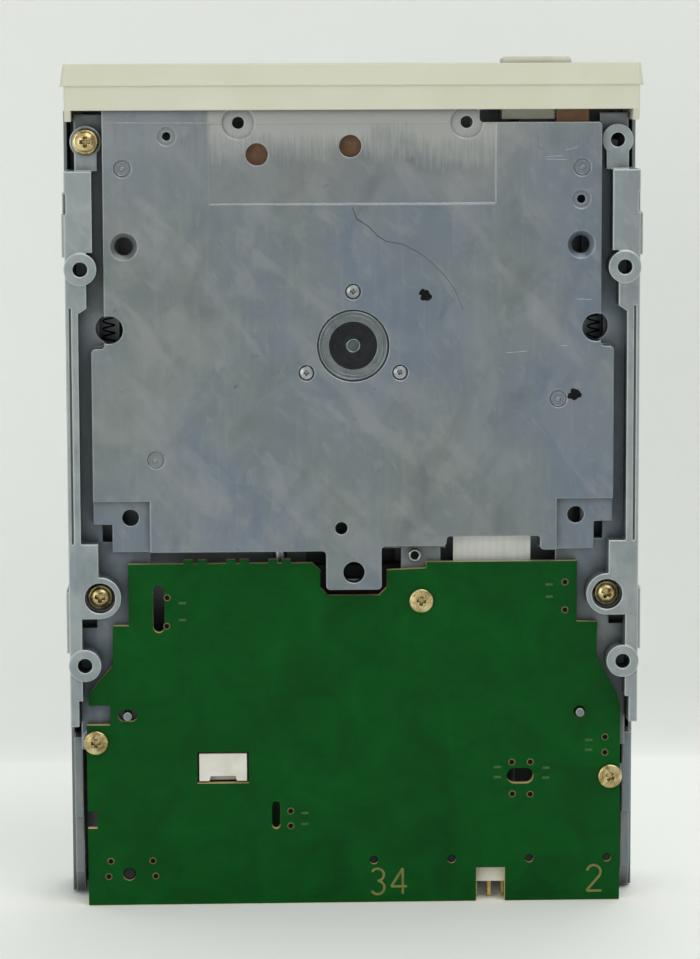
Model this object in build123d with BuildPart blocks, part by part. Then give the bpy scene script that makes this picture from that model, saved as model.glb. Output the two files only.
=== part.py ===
from build123d import *
from math import atan2, cos, degrees, hypot, radians, sin
import os

# A 3.5-inch floppy disk drive, built as an assembly of separate pieces.
# X runs to the right seen from the front, Y from the front panel to the rear and Z up.
# The origin is the middle of the four bottom mounting holes, on the plane that their bosses stand on.
# All lengths are in millimetres and all angles in degrees.

# Allowances shared by all pieces
OVERRUN = 1.0
RUN_GAP = 0.3
SEAT_GAP = 0.2
PIN_FIT = 0.05

# Widths from the disk outwards: tray, eject slide, chassis wall, rail and rail pad
DISK_WIDTH = 90.0
DISK_SIDE_GAP = 0.25
TRAY_SHEET = 0.75
SLIDE_SHEET = 0.8
WALL = 1.2
RAIL_WALL = 1.5
PAD_PROUD = 0.5
TRAY_IN = DISK_WIDTH / 2 + DISK_SIDE_GAP
TRAY_OUT = TRAY_IN + TRAY_SHEET
SLIDE_IN = TRAY_OUT + RUN_GAP
SLIDE_OUT = SLIDE_IN + SLIDE_SHEET
WALL_IN = SLIDE_OUT + RUN_GAP
WALL_OUT = WALL_IN + WALL
RAIL_IN = WALL_OUT + SEAT_GAP
RAIL_OUT = RAIL_IN + RAIL_WALL
HALF_WIDTH = RAIL_OUT + PAD_PROUD

# Heights from the bottom plane upwards
RAIL_Z = 0.4
PLATE_Z = 1.4
PLATE = 2.0
STEP_UP = 3.6
FLANGE = 1.8
RAIL_TOP = 13.0
PLATE_TOP = PLATE_Z + PLATE
FLANGE_Z = PLATE_Z + STEP_UP
FLANGE_TOP = FLANGE_Z + FLANGE

# Standard bottom and side mounting holes
MOUNT_BOSS_IN = 2.675
HOLE_SPAN_Y = 70.0
MOUNT_HOLE_R = 1.3
SIDE_HOLE_BACKSET = 9.4
SIDE_HOLE_Z = 5.0
SIDE_SCREW_REACH = 3.0
HOLE_SPAN_X = 2 * (RAIL_OUT - MOUNT_BOSS_IN)

# Lengths along the drive
FRONT_REACH = 70.5
REAR_REACH = 79.0
SPINDLE_Y = -21.3

# Bezel
LIP_DEEP = 3.8
LIP_DRAFT_DEG = 9.0
LIP_CORNER = 1.2
SKIRT_DEEP = 4.2
SKIRT_INSET = 0.75
SKIRT_Z = 0.2
SKIRT_WALL = 1.0
FACE_WALL = 2.5
LEG_LONG = 1.9
LEG_HIGH = 15.0
BEZEL_FRONT = -FRONT_REACH
FACE_BACK = BEZEL_FRONT + FACE_WALL
BEZEL_STEP = BEZEL_FRONT + LIP_DEEP
BEZEL_BACK = BEZEL_STEP + SKIRT_DEEP
SKIRT_HALF = HALF_WIDTH - SKIRT_INSET
BEZEL_IN = WALL_OUT + RUN_GAP

# Chassis floor: a plate that widens behind its step, with a tab and a cable cut-out at the rear
CHANNEL = 2.7
FLOOR_STEP_IN = 2.3
FLOOR_TUCK = 2.5
FLOOR_STEP_Y = -21.0
FLOOR_REAR = 15.1
FLOOR_NOTCH = 0.8
FLOOR_CORNER = 0.7
RIM = 1.5
BAY_WIDE = 21.4
BAY_DEEP = 2.25
BAY_TAB_WIDE = 8.4
TAB_HALF = 4.9
TAB_LONG = 6.9
CABLE_LEFT = 16.4
CABLE_SIDE = 3.0
CABLE_CUT = 2.5
FLANGE_BACKSET = 0.7
DECK_WIDE = 12.6
BEAM_DEEP = 4.0
BEAM_BOSS_IN = 2.37
PANEL_SIDE = 18.6
PANEL_LONG = 13.9
PANEL_BACKSET = 2.4
PANEL_DEEP = 0.12
POCKET_WIDE = 10.0
POCKET_LONG = 9.1
POCKET_DEEP = 1.2
CORNER_WIDE = 3.3
CORNER_LONG = 4.9
FLOOR_REAR_HALF = WALL_OUT - CHANNEL
FLOOR_FRONT_HALF = FLOOR_REAR_HALF - FLOOR_STEP_IN
FLOOR_FRONT = BEZEL_BACK - FLOOR_TUCK
FLOOR_LONG = FLOOR_REAR - FLOOR_FRONT
FLOOR_NOTCH_Y = FLOOR_REAR - FLOOR_NOTCH
BAY_BACK = BEZEL_BACK + BAY_DEEP
BAY_LEFT = FLOOR_FRONT_HALF - BAY_WIDE
BAY_TAB_LEFT = FLOOR_FRONT_HALF - BAY_TAB_WIDE
DECK_IN = WALL_OUT - DECK_WIDE
CABLE_RIGHT = DECK_IN - CABLE_SIDE
TAB_BACK = FLOOR_REAR + TAB_LONG
CABLE_Y = FLOOR_REAR - CABLE_CUT
FLANGE_FRONT = BEZEL_BACK + FLANGE_BACKSET
PANEL_HALF = FLOOR_FRONT_HALF - PANEL_SIDE
PANEL_FRONT = BEZEL_BACK + PANEL_BACKSET
PANEL_BACK = PANEL_FRONT + PANEL_LONG
POCKET_IN = FLOOR_REAR_HALF - POCKET_WIDE
POCKET_FRONT = FLOOR_REAR - POCKET_LONG
CORNER_IN = FLOOR_REAR_HALF - CORNER_WIDE
CORNER_FRONT = FLOOR_REAR - CORNER_LONG

# Round features of the floor, as shares of its half width and of its length from the front edge
SPOT_SHARES = ((-0.434, 0.0587), (0.434, 0.0587))
SPOT_HOLE_R = 1.05
SPOT_RING_R = 2.85
SPOT_RING_DEEP = 0.5
SMALL_HOLE_SHARES = ((-0.706, 0.0874), (0.872, 0.227))
SMALL_HOLE_R = 0.75
SMALL_RING_R = 1.65
SMALL_RING_DEEP = 0.35
VIEW_SHARES = ((-0.364, 0.1273), (-0.009, 0.11))
VIEW_HOLE_R = 1.95
PEEP_SHARES = ((-0.048, 0.949),)
PEEP_HOLE_R = 1.1
TAB_HOLE_IN = 3.1
TAB_HOLE_R = 1.9
EJECTOR_SHARES = ((-0.874, 0.157), (0.874, 0.157), (0.787, 0.664), (-0.756, 0.794))
EJECTOR_R = 1.6
EJECTOR_DEEP = 0.25
CONE_SHARES = ((-0.872, 0.326), (0.872, 0.326))
CONE_HOLE_R = 1.55
CONE_DEEP = 0.9
GUIDE_SHARES = ((-0.931, 0.508), (0.931, 0.508))
GUIDE_HOLE_R = 2.45
POCKET_HOLE_SHARES = ((-0.858, 0.924), (0.858, 0.924))
POCKET_HOLE_R = 1.48

# Rails: how far the foot reaches in from the outer wall along its length, and its bosses
BLOCK_DEEP = 4.8
NECK_DEEP = 3.7
FOOT_DEEP = 2.2
EAR_DEEP = 5.2
BLOCK_END = 2.9
NECK_END = 6.8
FOOT_END = 4.6
RAIL_END = 5.0
EAR_FRONT = 13.4
EAR_LONG = 6.6
BOSS_R = 2.85
REAR_BOSS_IN = 5.45
REAR_BOSS_Y = 23.0
REAR_BOSS_R = 3.7
FRONT_BOSS_IN = 3.8
FRONT_BOSS_BACKSET = 5.4
FRONT_BOSS_R = 2.75
FRONT_BOSS_Z = 2.6
FRONT_ARM_LONG = 5.1
FRONT_ARM_HALF = 1.95
REAR_RECESS_R = 2.7
REAR_RECESS_DEEP = 2.3
PAD_HALF = 5.5
PAD_Z = 0.9
PAD_TOP = 12.0
PAD_SLOT_AHEAD = 3.7
PAD_SLOT_LONG = 3.6
PAD_SLOT_WIDE = 0.8
GROOVE_IN = 1.0
GROOVE_WIDE = 0.4
GROOVE_DEEP = 0.5
FRONT_BOSS_X = RAIL_OUT - FRONT_BOSS_IN
FRONT_BOSS_Y = BEZEL_BACK + FRONT_BOSS_BACKSET
REAR_BOSS_X = RAIL_OUT - REAR_BOSS_IN
RAIL_FRONT = FRONT_BOSS_Y + FRONT_ARM_LONG
BLOCK_BACK = -HOLE_SPAN_Y / 2 - BLOCK_END
NECK_BACK = -HOLE_SPAN_Y / 2 + NECK_END
EAR_BACK = EAR_FRONT + EAR_LONG
SIDE_HOLE_Y = RAIL_FRONT + SIDE_HOLE_BACKSET
PAD_SLOT_Y = SIDE_HOLE_Y - PAD_SLOT_AHEAD

# Sheet-metal cover
COVER_SHEET = 0.6
COVER_BEND = 1.2
COVER_INSET = 0.4
COVER_GAP = 0.851
COVER_PANEL_INSET = 12.0
COVER_PANEL_DEEP = 0.25
COVER_PANEL_CORNER = 6.0
COVER_LIP_HIGH = 5.0
COVER_LIP_CUT_HALF = 30.0
COVER_WINDOW_LONG = 6.0
COVER_WINDOW_HIGH = 2.0
COVER_WINDOW_SHARES = (-0.55, 0.35)
COVER_FRONT = BEZEL_BACK + SEAT_GAP
COVER_BACK = REAR_REACH - COVER_INSET

# Rear wings of the chassis
WING_WALL = 1.6
WING_GAP = 0.1
WING_LIFT = 3.0
WING_INSET = 0.6
WING_JOG = 1.6
WING_STEP_LONG = 14.4
WING_STEP_UP = 1.6
WING_SLANT = 4.0
WING_OUT = HALF_WIDTH - COVER_SHEET - WING_GAP
WING_IN = WING_OUT - WING_WALL
WING_Z = FLANGE_Z + WING_LIFT
WING_BACK = REAR_REACH - WING_INSET
WING_STEP_Y = WING_BACK - WING_STEP_LONG

# Screws
RAIL_HEAD_R = 2.35
RAIL_HEAD_HIGH = 1.7
BOARD_HEAD_R = 2.15
BOARD_HEAD_HIGH = 1.0
SHANK_R = 1.2
SMALL_HEAD_R = 1.2
SMALL_HEAD_HIGH = 0.5
SMALL_SHANK_R = 0.75

# Main board; its outline and places are shares of its half width and of its length from the front edge
BOARD = 1.6
BOARD_UNDER = 0.4
BOARD_SIDE_GAP = 0.9
BOARD_FRONT_GAP = 2.3
BOARD_TAB_SIDE = 1.0
BOARD_TAB_GAP = 1.3
BOARD_TAB_CORNER = 1.4
BOARD_LEFT_SHARES = (
    (-1.0, 0.773), (-0.964, 0.773), (-0.964, 0.722), (-1.0, 0.722), (-1.0, 0.469), (-0.912, 0.469),
    (-0.912, 0.411), (-0.992, 0.411), (-0.992, 0.377), (-0.901, 0.295), (-0.897, 0.179),
    (-0.838, 0.179), (-0.838, 0.0),
)
BOARD_RIGHT_SHARES = (
    (0.271, 0.018), (0.271, 0.0), (0.834, 0.0), (0.834, 0.177), (0.912, 0.179), (0.908, 0.276),
    (0.987, 0.391), (1.0, 0.432),
)
SNAP_TAB_SHARES = (-0.59, -0.432, -0.276)
SNAP_TAB_SPREAD = 2.4
SNAP_TAB_WIDE = 1.6
SNAP_TAB_LONG = 0.7
BOARD_SCREW_SHARES = ((0.252, 0.112), (-0.966, 0.519), (0.962, 0.633))
BOARD_SCREW_HOLE_R = 1.35
BOARD_BOSS_R = 2.4
BOARD_BOSS_HIGH = 7.4
BOARD_ARM_HALF = 3.5
BOARD_ARM_END = 2.7
BOARD_ARM_THICK = 1.7
RIVET_R = 1.15
RIVET_HIGH = 0.7
RIVET_SIDE = 1.1
RIVET_BACK = 2.0
PEG_SHARES = (0.847, 0.442)
PEG_R = 0.75
PEG_LONG = 2.8
PEG_HOLE_R = 1.05
PEG_SLOT_LONG = 3.4
LONG_SLOT_SHARES = (-0.727, 0.131)
LONG_SLOT_WIDE = 2.0
LONG_SLOT_LONG = 8.5
SHORT_SLOT_SHARES = (-0.294, 0.739)
SHORT_SLOT_WIDE = 1.5
SHORT_SLOT_LONG = 5.0
OVAL_SHARES = (0.624, 0.63)
OVAL_LONG = 4.8
OVAL_WIDE = 2.8
WINDOW_SHARE = -0.492
WINDOW_BEHIND = 3.175
WINDOW_WIDE = 9.2
WINDOW_LONG = 5.7
KEY_NOTCH_HALF = 2.6
KEY_NOTCH_DEEP = 6.1
HEADER_PEG_R = 0.75
HEADER_PEG_SPREAD = 13.95
HEADER_PEG_IN = 1.1
HEADER_PEG_COUNT = 4
POWER_HOLE_R = 1.15
BOARD_TOP = FLANGE_Z - BOARD_UNDER
BOARD_Z = BOARD_TOP - BOARD
BOARD_HALF = WING_IN - BOARD_SIDE_GAP
BOARD_FRONT = FLOOR_REAR + BOARD_FRONT_GAP
BOARD_LONG = REAR_REACH - BOARD_FRONT
BEAM_FRONT = BOARD_FRONT + BOARD_SCREW_SHARES[1][1] * BOARD_LONG - BEAM_BOSS_IN
BEAM_BACK = BEAM_FRONT + BEAM_DEEP
RAIL_BACK = BEAM_BACK - RAIL_END
FOOT_BACK = RAIL_BACK - FOOT_END

# Connectors
PIN_PITCH = 2.54
PIN_SIDE = 0.64
PIN_COLUMNS = 17
PIN_ROWS = 2
HEADER_SIDE = 23.2
HEADER_INSET = 3.2
HEADER_DEEP = 5.6
HEADER_HIGH = 7.2
HEADER_END = 1.3
PIN_LOW = 2.0
PIN_BURIED = 4.4
POWER_SIDE = 7.3
POWER_HALF = 6.2
POWER_INSET = 0.4
POWER_DEEP = 10.0
POWER_HIGH = 7.0
POWER_WALL = 0.9
POWER_PITCH = 2.5
POWER_PINS = 4
POWER_PIN_SIDE = 0.8
POWER_PIN_INSET = 1.6
POWER_PEG_INSET = 5.2
HEAD_SOCKET_GAP = 0.35
HEAD_SOCKET_UP = 0.3
HEAD_SOCKET_HIGH = 5.9
HEAD_NOTCH_HALF = 2.2
HEAD_NOTCH_DEEP = 0.9
HEADER_X = BOARD_HALF - HEADER_SIDE
HEADER_BACK = REAR_REACH - HEADER_INSET
HEADER_FRONT = HEADER_BACK - HEADER_DEEP
HEADER_HALF = (PIN_COLUMNS - 1) * PIN_PITCH / 2 + HEADER_END
POWER_X = POWER_SIDE - BOARD_HALF
POWER_BACK = REAR_REACH - POWER_INSET
POWER_FRONT = POWER_BACK - POWER_DEEP
POWER_PIN_BACK = POWER_BACK - POWER_PIN_INSET

# Packages on the component side: place, width and depth as shares of the board
CHIP_SHARES = (
    (-0.063, 0.692, 0.294, 0.227), (-0.557, 0.756, 0.21, 0.114), (-0.693, 0.594, 0.147, 0.081),
)
CHIP_HIGH = 2.0
CHIP_CHAMFER = 0.3

# Flat cable and its two sockets
RIBBON_SIDE_GAP = 1.4
RIBBON_THICK = 0.3
RIBBON_LIFT = 1.3
RIBBON_SAG = 0.7
SOCKET_SIDE = 0.8
SOCKET_HIGH = 2.4
SOCKET_DEEP = 3.0
SOCKET_BACKSET = 3.4
TAIL_BACKSET = 3.2
RIBBON_REAR_IN = 5.6
RIBBON_X = (CABLE_LEFT + CABLE_RIGHT) / 2
RIBBON_WIDE = CABLE_RIGHT - CABLE_LEFT - 2 * RIBBON_SIDE_GAP
RIBBON_Z = BOARD_TOP + RIBBON_LIFT
RIBBON_REAR = BOARD_FRONT + RIBBON_REAR_IN
MOTOR_BOARD_TAIL = CABLE_Y - TAIL_BACKSET
RIBBON_FRONT = MOTOR_BOARD_TAIL - SOCKET_BACKSET

# Spindle motor
ROTOR_R = 22.0
ROTOR_RIM = 1.0
ROTOR_LIFT = 1.9
ROTOR_HIGH = 4.3
ROTOR_PLATE = 0.9
MAGNET_THICK = 1.5
AIR_GAP = 0.45
TOOTH_HEAD = 1.4
TOOTH_HEAD_WIDE = 6.4
TOOTH_WIDE = 2.2
TOOTH_COUNT = 12
STATOR_LIFT = 2.2
STATOR_HIGH = 2.0
STATOR_RING = 2.7
COIL_WIDE = 4.0
COIL_WALL = 0.5
COIL_IN_GAP = 1.2
COIL_OUT_GAP = 0.4
BEARING_R = 6.2
BEARING_HOLE_GAP = 0.15
BEARING_INSET = 0.25
BEARING_NECK_R = 7.9
BEARING_CIRCLE_OUT = 1.6
BEARING_FLANGE_OUT = 1.8
BEARING_FLANGE = 1.2
BEARING_SCREW_COUNT = 3
CAP_IN = 2.05
CAP_THICK = 0.8
CAP_PROUD = 0.05
CAP_HOLE_R = 1.3
SHAFT_R = 1.5
SHAFT_TIP_R = 1.03
SHAFT_TIP_INSET = 0.05
SHAFT_STEP = 0.9
NOSE_R = 2.0
NOSE_HIGH = 2.8
NOSE_CHAMFER = 0.5
MOTOR_BOARD = 1.0
MOTOR_BOARD_EDGE_GAP = 0.6
MOTOR_BOARD_HOLE_GAP = 0.4
MOTOR_BOARD_POST_GAP = 2.6
CHUCK_R = 13.8
CHUCK_THICK = 0.8
DRIVE_PIN_R = 1.0
DRIVE_PIN_HIGH = 1.1
DRIVE_PIN_IN = 4.3
ROTOR_Z = PLATE_TOP + ROTOR_LIFT
ROTOR_TOP = ROTOR_Z + ROTOR_HIGH
MAGNET_R = ROTOR_R - ROTOR_RIM - PIN_FIT
STATOR_R = MAGNET_R - MAGNET_THICK - AIR_GAP
TOOTH_HEAD_R = STATOR_R - TOOTH_HEAD
STATOR_Z = PLATE_TOP + STATOR_LIFT
STATOR_RING_R = BEARING_NECK_R + STATOR_RING
COIL_IN_R = STATOR_RING_R + COIL_IN_GAP
COIL_OUT_R = TOOTH_HEAD_R - COIL_OUT_GAP
BEARING_Z = PLATE_Z + BEARING_INSET
BEARING_CIRCLE_R = BEARING_NECK_R + BEARING_CIRCLE_OUT
BEARING_FLANGE_R = BEARING_CIRCLE_R + BEARING_FLANGE_OUT
BEARING_NECK_TOP = STATOR_Z + STATOR_HIGH
FLANGE_UP = PLATE_TOP + BEARING_FLANGE
CAP_R = BEARING_R - CAP_IN
CAP_Z = BEARING_Z - CAP_PROUD
SHAFT_TIP_Z = BEARING_Z + SHAFT_TIP_INSET
SHAFT_STEP_Z = SHAFT_TIP_Z + SHAFT_STEP
NOSE_TOP = ROTOR_TOP + NOSE_HIGH
CHUCK_TOP = ROTOR_TOP + CHUCK_THICK
DRIVE_PIN_OUT = CHUCK_R - DRIVE_PIN_IN
MOTOR_BOARD_TOP = PLATE_TOP + MOTOR_BOARD

# Disk tray, raised by its lift when the drive is empty
DISK_CLEAR = 0.4
TRAY_ROOM = 4.4
TRAY_LIFT = 3.0
TRAY_LIP = 4.0
TRAY_BACKSET = 4.5
TRAY_TO_BEAM = 25.0
TRAY_HEAD_HALF = 8.0
TRAY_HEAD_FRONT = -1.5
TRAY_WINDOW_HALF = 20.0
TRAY_WINDOW_IN = 12.0
TRAY_WINDOW_BEHIND = 9.3
TRAY_WINDOW_CORNER = 4.0
STUD_R = 1.1
STUD_GAP = 0.15
STUD_BACKSET = 12.0
STUD_REAR_Y = 2.0
STUD_DOWN = 2.6
DISK_LOW = CHUCK_TOP + DISK_CLEAR
LIP_TOP = DISK_LOW + TRAY_LIFT
LIP_LOW = LIP_TOP - TRAY_SHEET
TRAY_CEILING = LIP_TOP + TRAY_ROOM
TRAY_TOP = TRAY_CEILING + TRAY_SHEET
TRAY_FRONT = BEZEL_BACK + TRAY_BACKSET
TRAY_WINDOW_FRONT = TRAY_FRONT + TRAY_WINDOW_IN
TRAY_WINDOW_BACK = SPINDLE_Y + TRAY_WINDOW_BEHIND
TRAY_BACK = BEAM_FRONT - TRAY_TO_BEAM
STUD_YS = (TRAY_FRONT + STUD_BACKSET, STUD_REAR_Y)
STUD_Z = TRAY_TOP - STUD_DOWN

# Eject slide and button
SLIDE_LIFT = 0.4
SLIDE_TRAVEL = 6.0
SLIDE_BACKSET = 5.5
SLIDE_BAR_DEEP = 6.0
SLIDE_STRIP = 2.5
SLIDE_TAIL = 12.0
SLIDE_RIDGE = 1.0
SLIDE_HOOK_Y = -13.0
SLIDE_HOOK_DEEP = 2.0
WALL_RIDGE = 0.8
BUTTON_SIDE = 11.2
BUTTON_HALF = 6.05
BUTTON_PROUD = 1.1
BUTTON_DROP = 3.0
BUTTON_HIGH = 6.2
BUTTON_GAP = 0.35
BUTTON_HEAD_DEEP = 4.4
BUTTON_CORNER = 0.8
STEM_RIGHT_OUT = 3.25
STEM_GAP = 0.45
STEM_INSET = 0.5
SLIDE_TAB_HALF = 2.8
SLIDE_TAB_DEEP = 2.7
TAB_PLAY = 0.1
SLIDE_FRONT = BEZEL_BACK + SLIDE_BACKSET
SLIDE_BACK = STUD_REAR_Y + SLIDE_TAIL
SLIDE_Z = FLANGE_TOP + SLIDE_LIFT
SLIDE_TOP = SLIDE_Z + SLIDE_SHEET
SLIDE_WALL_TOP = STUD_Z + STUD_R + STUD_GAP + SLIDE_RIDGE
WALL_TOP = SLIDE_WALL_TOP + WALL_RIDGE
BUTTON_X = FLOOR_FRONT_HALF - BUTTON_SIDE
BUTTON_Z = SLIDE_Z - BUTTON_DROP
BUTTON_TIP = BEZEL_FRONT - BUTTON_PROUD
STEM_BACK = BAY_BACK - STEM_GAP
SLIDE_TAB_FRONT = STEM_BACK - SLIDE_TAB_DEEP

# Slide springs
SPRING_R = 1.2
SPRING_WALL = 0.4
SPRING_LONG = 19.0
SPRING_SIDE_GAP = 0.4
SPRING_LIFT = 0.1
SPRING_POST_R = 0.8
SPRING_X = SLIDE_OUT - SLIDE_STRIP - SPRING_SIDE_GAP - SPRING_R
SPRING_Z = SLIDE_Z + SPRING_LIFT + SPRING_R
SPRING_POST_TOP = SPRING_Z + SPRING_R
SPRING_POST_Y = SLIDE_HOOK_Y - SPRING_LONG - SPRING_POST_R - RUN_GAP

# Disk slot, its door and the light pipe
SLOT_SIDE_GAP = 0.75
SLOT_HIGH = 5.2
SLOT_CLEAR = 0.3
DOOR_GAP = 0.35
DOOR_THICK = 1.0
DOOR_INSET = 0.8
DOOR_PIN_R = 0.45
DOOR_PIN_LONG = 1.2
DOOR_PIN_DOWN = 0.95
SCOOP_WIDE = 26.0
SCOOP_HIGH = 11.0
SCOOP_DEEP = 0.7
LED_SIDE = 10.6
LED_Z = 7.3
LED_WIDE = 3.8
LED_HIGH = 1.8
LED_LONG = 5.0
LED_EDGE = 0.3
LED_X = LED_SIDE - FLOOR_FRONT_HALF
SLOT_HALF = DISK_WIDTH / 2 + SLOT_SIDE_GAP
SLOT_LOW = LIP_TOP - SLOT_CLEAR
SLOT_TOP = SLOT_LOW + SLOT_HIGH
DOOR_HALF = SLOT_HALF - DOOR_GAP
DOOR_FRONT = BEZEL_FRONT + DOOR_INSET
DOOR_PIN_Y = DOOR_FRONT + DOOR_THICK / 2
DOOR_PIN_Z = SLOT_TOP - DOOR_PIN_DOWN

# Shutter lever on the tray
LEVER_SIDE = 9.25
LEVER_BEFORE = 9.0
LEVER_PIVOT_R = 1.2
LEVER_PIVOT_HIGH = 3.4
LEVER_CLEAR = 6.334
LEVER_REST_DEG = -60.0
LEVER_SWING_DEG = 50.0
LEVER_THICK = 0.8
LEVER_HALF = 2.2
LEVER_HUB_R = 3.4
FINGER_R = 1.3
FINGER_LOW_GAP = 0.6
LEVER_SPRING_R = 2.6
LEVER_SPRING_WALL = 0.7
LEVER_SPRING_HIGH = 1.6
LEVER_Z = TRAY_TOP + SEAT_GAP
LEVER_TOP = LEVER_Z + LEVER_THICK
LEVER_X = LEVER_SIDE - TRAY_IN
LEVER_Y = TRAY_BACK - LEVER_BEFORE
LEVER_SPAN = -LEVER_X - TRAY_HEAD_HALF - LEVER_CLEAR
LEVER_REACH = LEVER_SPAN / cos(radians(LEVER_REST_DEG + LEVER_SWING_DEG))
LEVER_PIVOT = (LEVER_X, LEVER_Y)
LEVER_TIP = (
    LEVER_X + LEVER_REACH * cos(radians(LEVER_REST_DEG)),
    LEVER_Y + LEVER_REACH * sin(radians(LEVER_REST_DEG)),
)

# Head carriage on its two rods, parked over the outermost track
TRACK_ZERO_R = 39.5
TRACK_TRAVEL = 14.8
ROD_X = 13.0
ROD_R = 1.25
ROD_UNDER = 1.8
ROD_OVER = 2.0
ROD_POST_TUCK = 1.7
ROD_POST_DEEP = 3.6
ROD_POST_HALF = 2.6
CLAMP_HALF = 3.4
CLAMP_THICK = 0.6
CARRIAGE_HALF = 17.0
CARRIAGE_PARK_GAP = 1.0
CARRIAGE_FRONT_BACKSET = 0.2
CARRIAGE_WAIST_HALF = 9.0
CARRIAGE_SHOE = 6.0
CARRIAGE_FLARE = 3.0
CARRIAGE_WINDOW_HALF = 5.0
CARRIAGE_WINDOW_IN = 7.0
NOSE_HALF = 5.0
NOSE_AHEAD = 3.8
NOSE_THICK = 1.0
HEAD_HALF = 2.0
HEAD_THICK = 0.75
HEAD_RISE = 1.8
HEAD_GAP = 0.15
PIVOT_IN = 2.0
PIVOT_PIN_R = 0.8
PIVOT_PIN_END = 0.3
CHEEK_GAP = 0.7
CHEEK_THICK = 2.0
CHEEK_ROUND = 2.4
CHEEK_SLOPE = 3.6
ARM_LIFT_DEG = 12.5
ARM_OVER_TRAY = 0.45
ARM_THICK = 1.2
ARM_AHEAD = 3.6
ARM_FRONT_HALF = 2.6
ARM_REAR_HALF = 4.6
ARM_FLARE = 9.4
ARM_BARREL_R = 1.8
ARM_STEM_HALF = 1.4
LEAF_HALF = 1.8
LEAF_SHORT = 12.4
LEAF_THICK = 0.3
HEAD_Y = SPINDLE_Y + TRACK_ZERO_R
HEAD_MEET = DISK_LOW + HEAD_RISE
CARRIAGE_Z = FLANGE_TOP + RUN_GAP
ROD_Z = CARRIAGE_Z + ROD_UNDER
CARRIAGE_TOP = ROD_Z + ROD_OVER
CARRIAGE_FRONT = HEAD_Y + CARRIAGE_FRONT_BACKSET
CARRIAGE_BACK = BEAM_FRONT - CARRIAGE_PARK_GAP
CARRIAGE_WINDOW_FRONT = CARRIAGE_FRONT + CARRIAGE_WINDOW_IN
CARRIAGE_WINDOW_BACK = CARRIAGE_BACK - CARRIAGE_WINDOW_IN
ROD_POST_FRONT = SPINDLE_Y + ROTOR_R - ROD_POST_TUCK
ROD_POST_BACK = ROD_POST_FRONT + ROD_POST_DEEP
BEAM_TOP = ROD_Z + ROD_R
ROD_SPOTS = ((-ROD_X, ROD_Z), (ROD_X, ROD_Z))
PIVOT_Y = CARRIAGE_BACK - PIVOT_IN
ARM_Z = TRAY_TOP - TRAY_LIFT + ARM_OVER_TRAY
PIVOT_Z = ARM_Z + ARM_THICK / 2
ARM_FRONT = HEAD_Y - ARM_AHEAD
ARM_FLARE_Y = ARM_FRONT + ARM_FLARE
LEAF_LONG = PIVOT_Y - ARM_FRONT - LEAF_SHORT
CHEEK_IN = ARM_REAR_HALF + CHEEK_GAP
CHEEK_OUT = CHEEK_IN + CHEEK_THICK
HEAD_YS = (HEAD_Y - HEAD_HALF, HEAD_Y + HEAD_HALF)

# The overall height: the lifted head arm, a gap and the cover's sheet over it
ARM_RISE = (PIVOT_Y - ARM_FRONT) * sin(radians(ARM_LIFT_DEG))
ARM_PEAK = PIVOT_Z + ARM_RISE + ARM_THICK / 2 * cos(radians(ARM_LIFT_DEG))
HEIGHT = ARM_PEAK + COVER_GAP + COVER_SHEET

# Stepper motor and lead screw
LEAD_X = 22.0
LEAD_LIFT = 2.1
LEAD_R = 1.5
LEAD_END_GAP = 0.2
LEAD_JOURNAL_R = 1.0
LEAD_JOURNAL_LONG = 2.2
BRACKET_SHEET = 1.0
CAN_R = 7.5
CAN_GAP = 4.2
CAN_EDGE = 0.8
CAN_SOCKET_DEEP = 1.4
BRACKET_LEFT_OUT = 8.2
BRACKET_RIGHT_OUT = 9.0
BRACKET_FOOT = 0.2
BRACKET_CROWN = 0.3
BRACKET_WEB_LIFT = 0.85
BRACKET_WEB_HIGH = 6.0
BRACKET_NOSE_OUT = 3.0
BRACKET_HOLE_R = 2.2
STEPPER_SCREW_IN = 1.5
STEPPER_SCREW_UP = 1.7
FOLLOWER_FOOT_LONG = 4.4
FOLLOWER_WALL = 0.9
FOLLOWER_DEEP = 3.0
FOLLOWER_FOOT = 1.4
FOLLOWER_SHOULDER = 1.6
LEAD_Z = CARRIAGE_TOP + LEAD_LIFT
LEAD_FRONT = CARRIAGE_BACK - FOLLOWER_DEEP - TRACK_TRAVEL - LEAD_END_GAP
CAN_FRONT = BEAM_BACK + BRACKET_SHEET
CAN_BACK = HEADER_FRONT - CAN_GAP
NOSE_PLATE = (LEAD_FRONT - LEAD_JOURNAL_LONG, LEAD_FRONT - LEAD_JOURNAL_LONG + BRACKET_SHEET)
BRACKET_LEFT = LEAD_X - BRACKET_LEFT_OUT
BRACKET_RIGHT = LEAD_X + BRACKET_RIGHT_OUT
BRACKET_WEB_Z = BEAM_TOP + BRACKET_WEB_LIFT
BRACKET_WEB_TOP = BRACKET_WEB_Z + BRACKET_WEB_HIGH
STEPPER_SPOTS = (
    (BRACKET_LEFT + STEPPER_SCREW_IN, FLANGE_Z + STEPPER_SCREW_UP),
    (BRACKET_RIGHT - STEPPER_SCREW_IN, FLANGE_Z + STEPPER_SCREW_UP),
)
FOLLOWER_LEFT = CARRIAGE_HALF - FOLLOWER_FOOT_LONG
FOLLOWER_RIGHT = LEAD_X + LEAD_R + RUN_GAP + FOLLOWER_WALL
FOLLOWER_STEP_X = CARRIAGE_HALF + FOLLOWER_SHOULDER
FOLLOWER_TOP = LEAD_Z + LEAD_R + RUN_GAP + FOLLOWER_WALL
FOLLOWER_YS = (CARRIAGE_BACK - FOLLOWER_DEEP, CARRIAGE_BACK)

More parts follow.
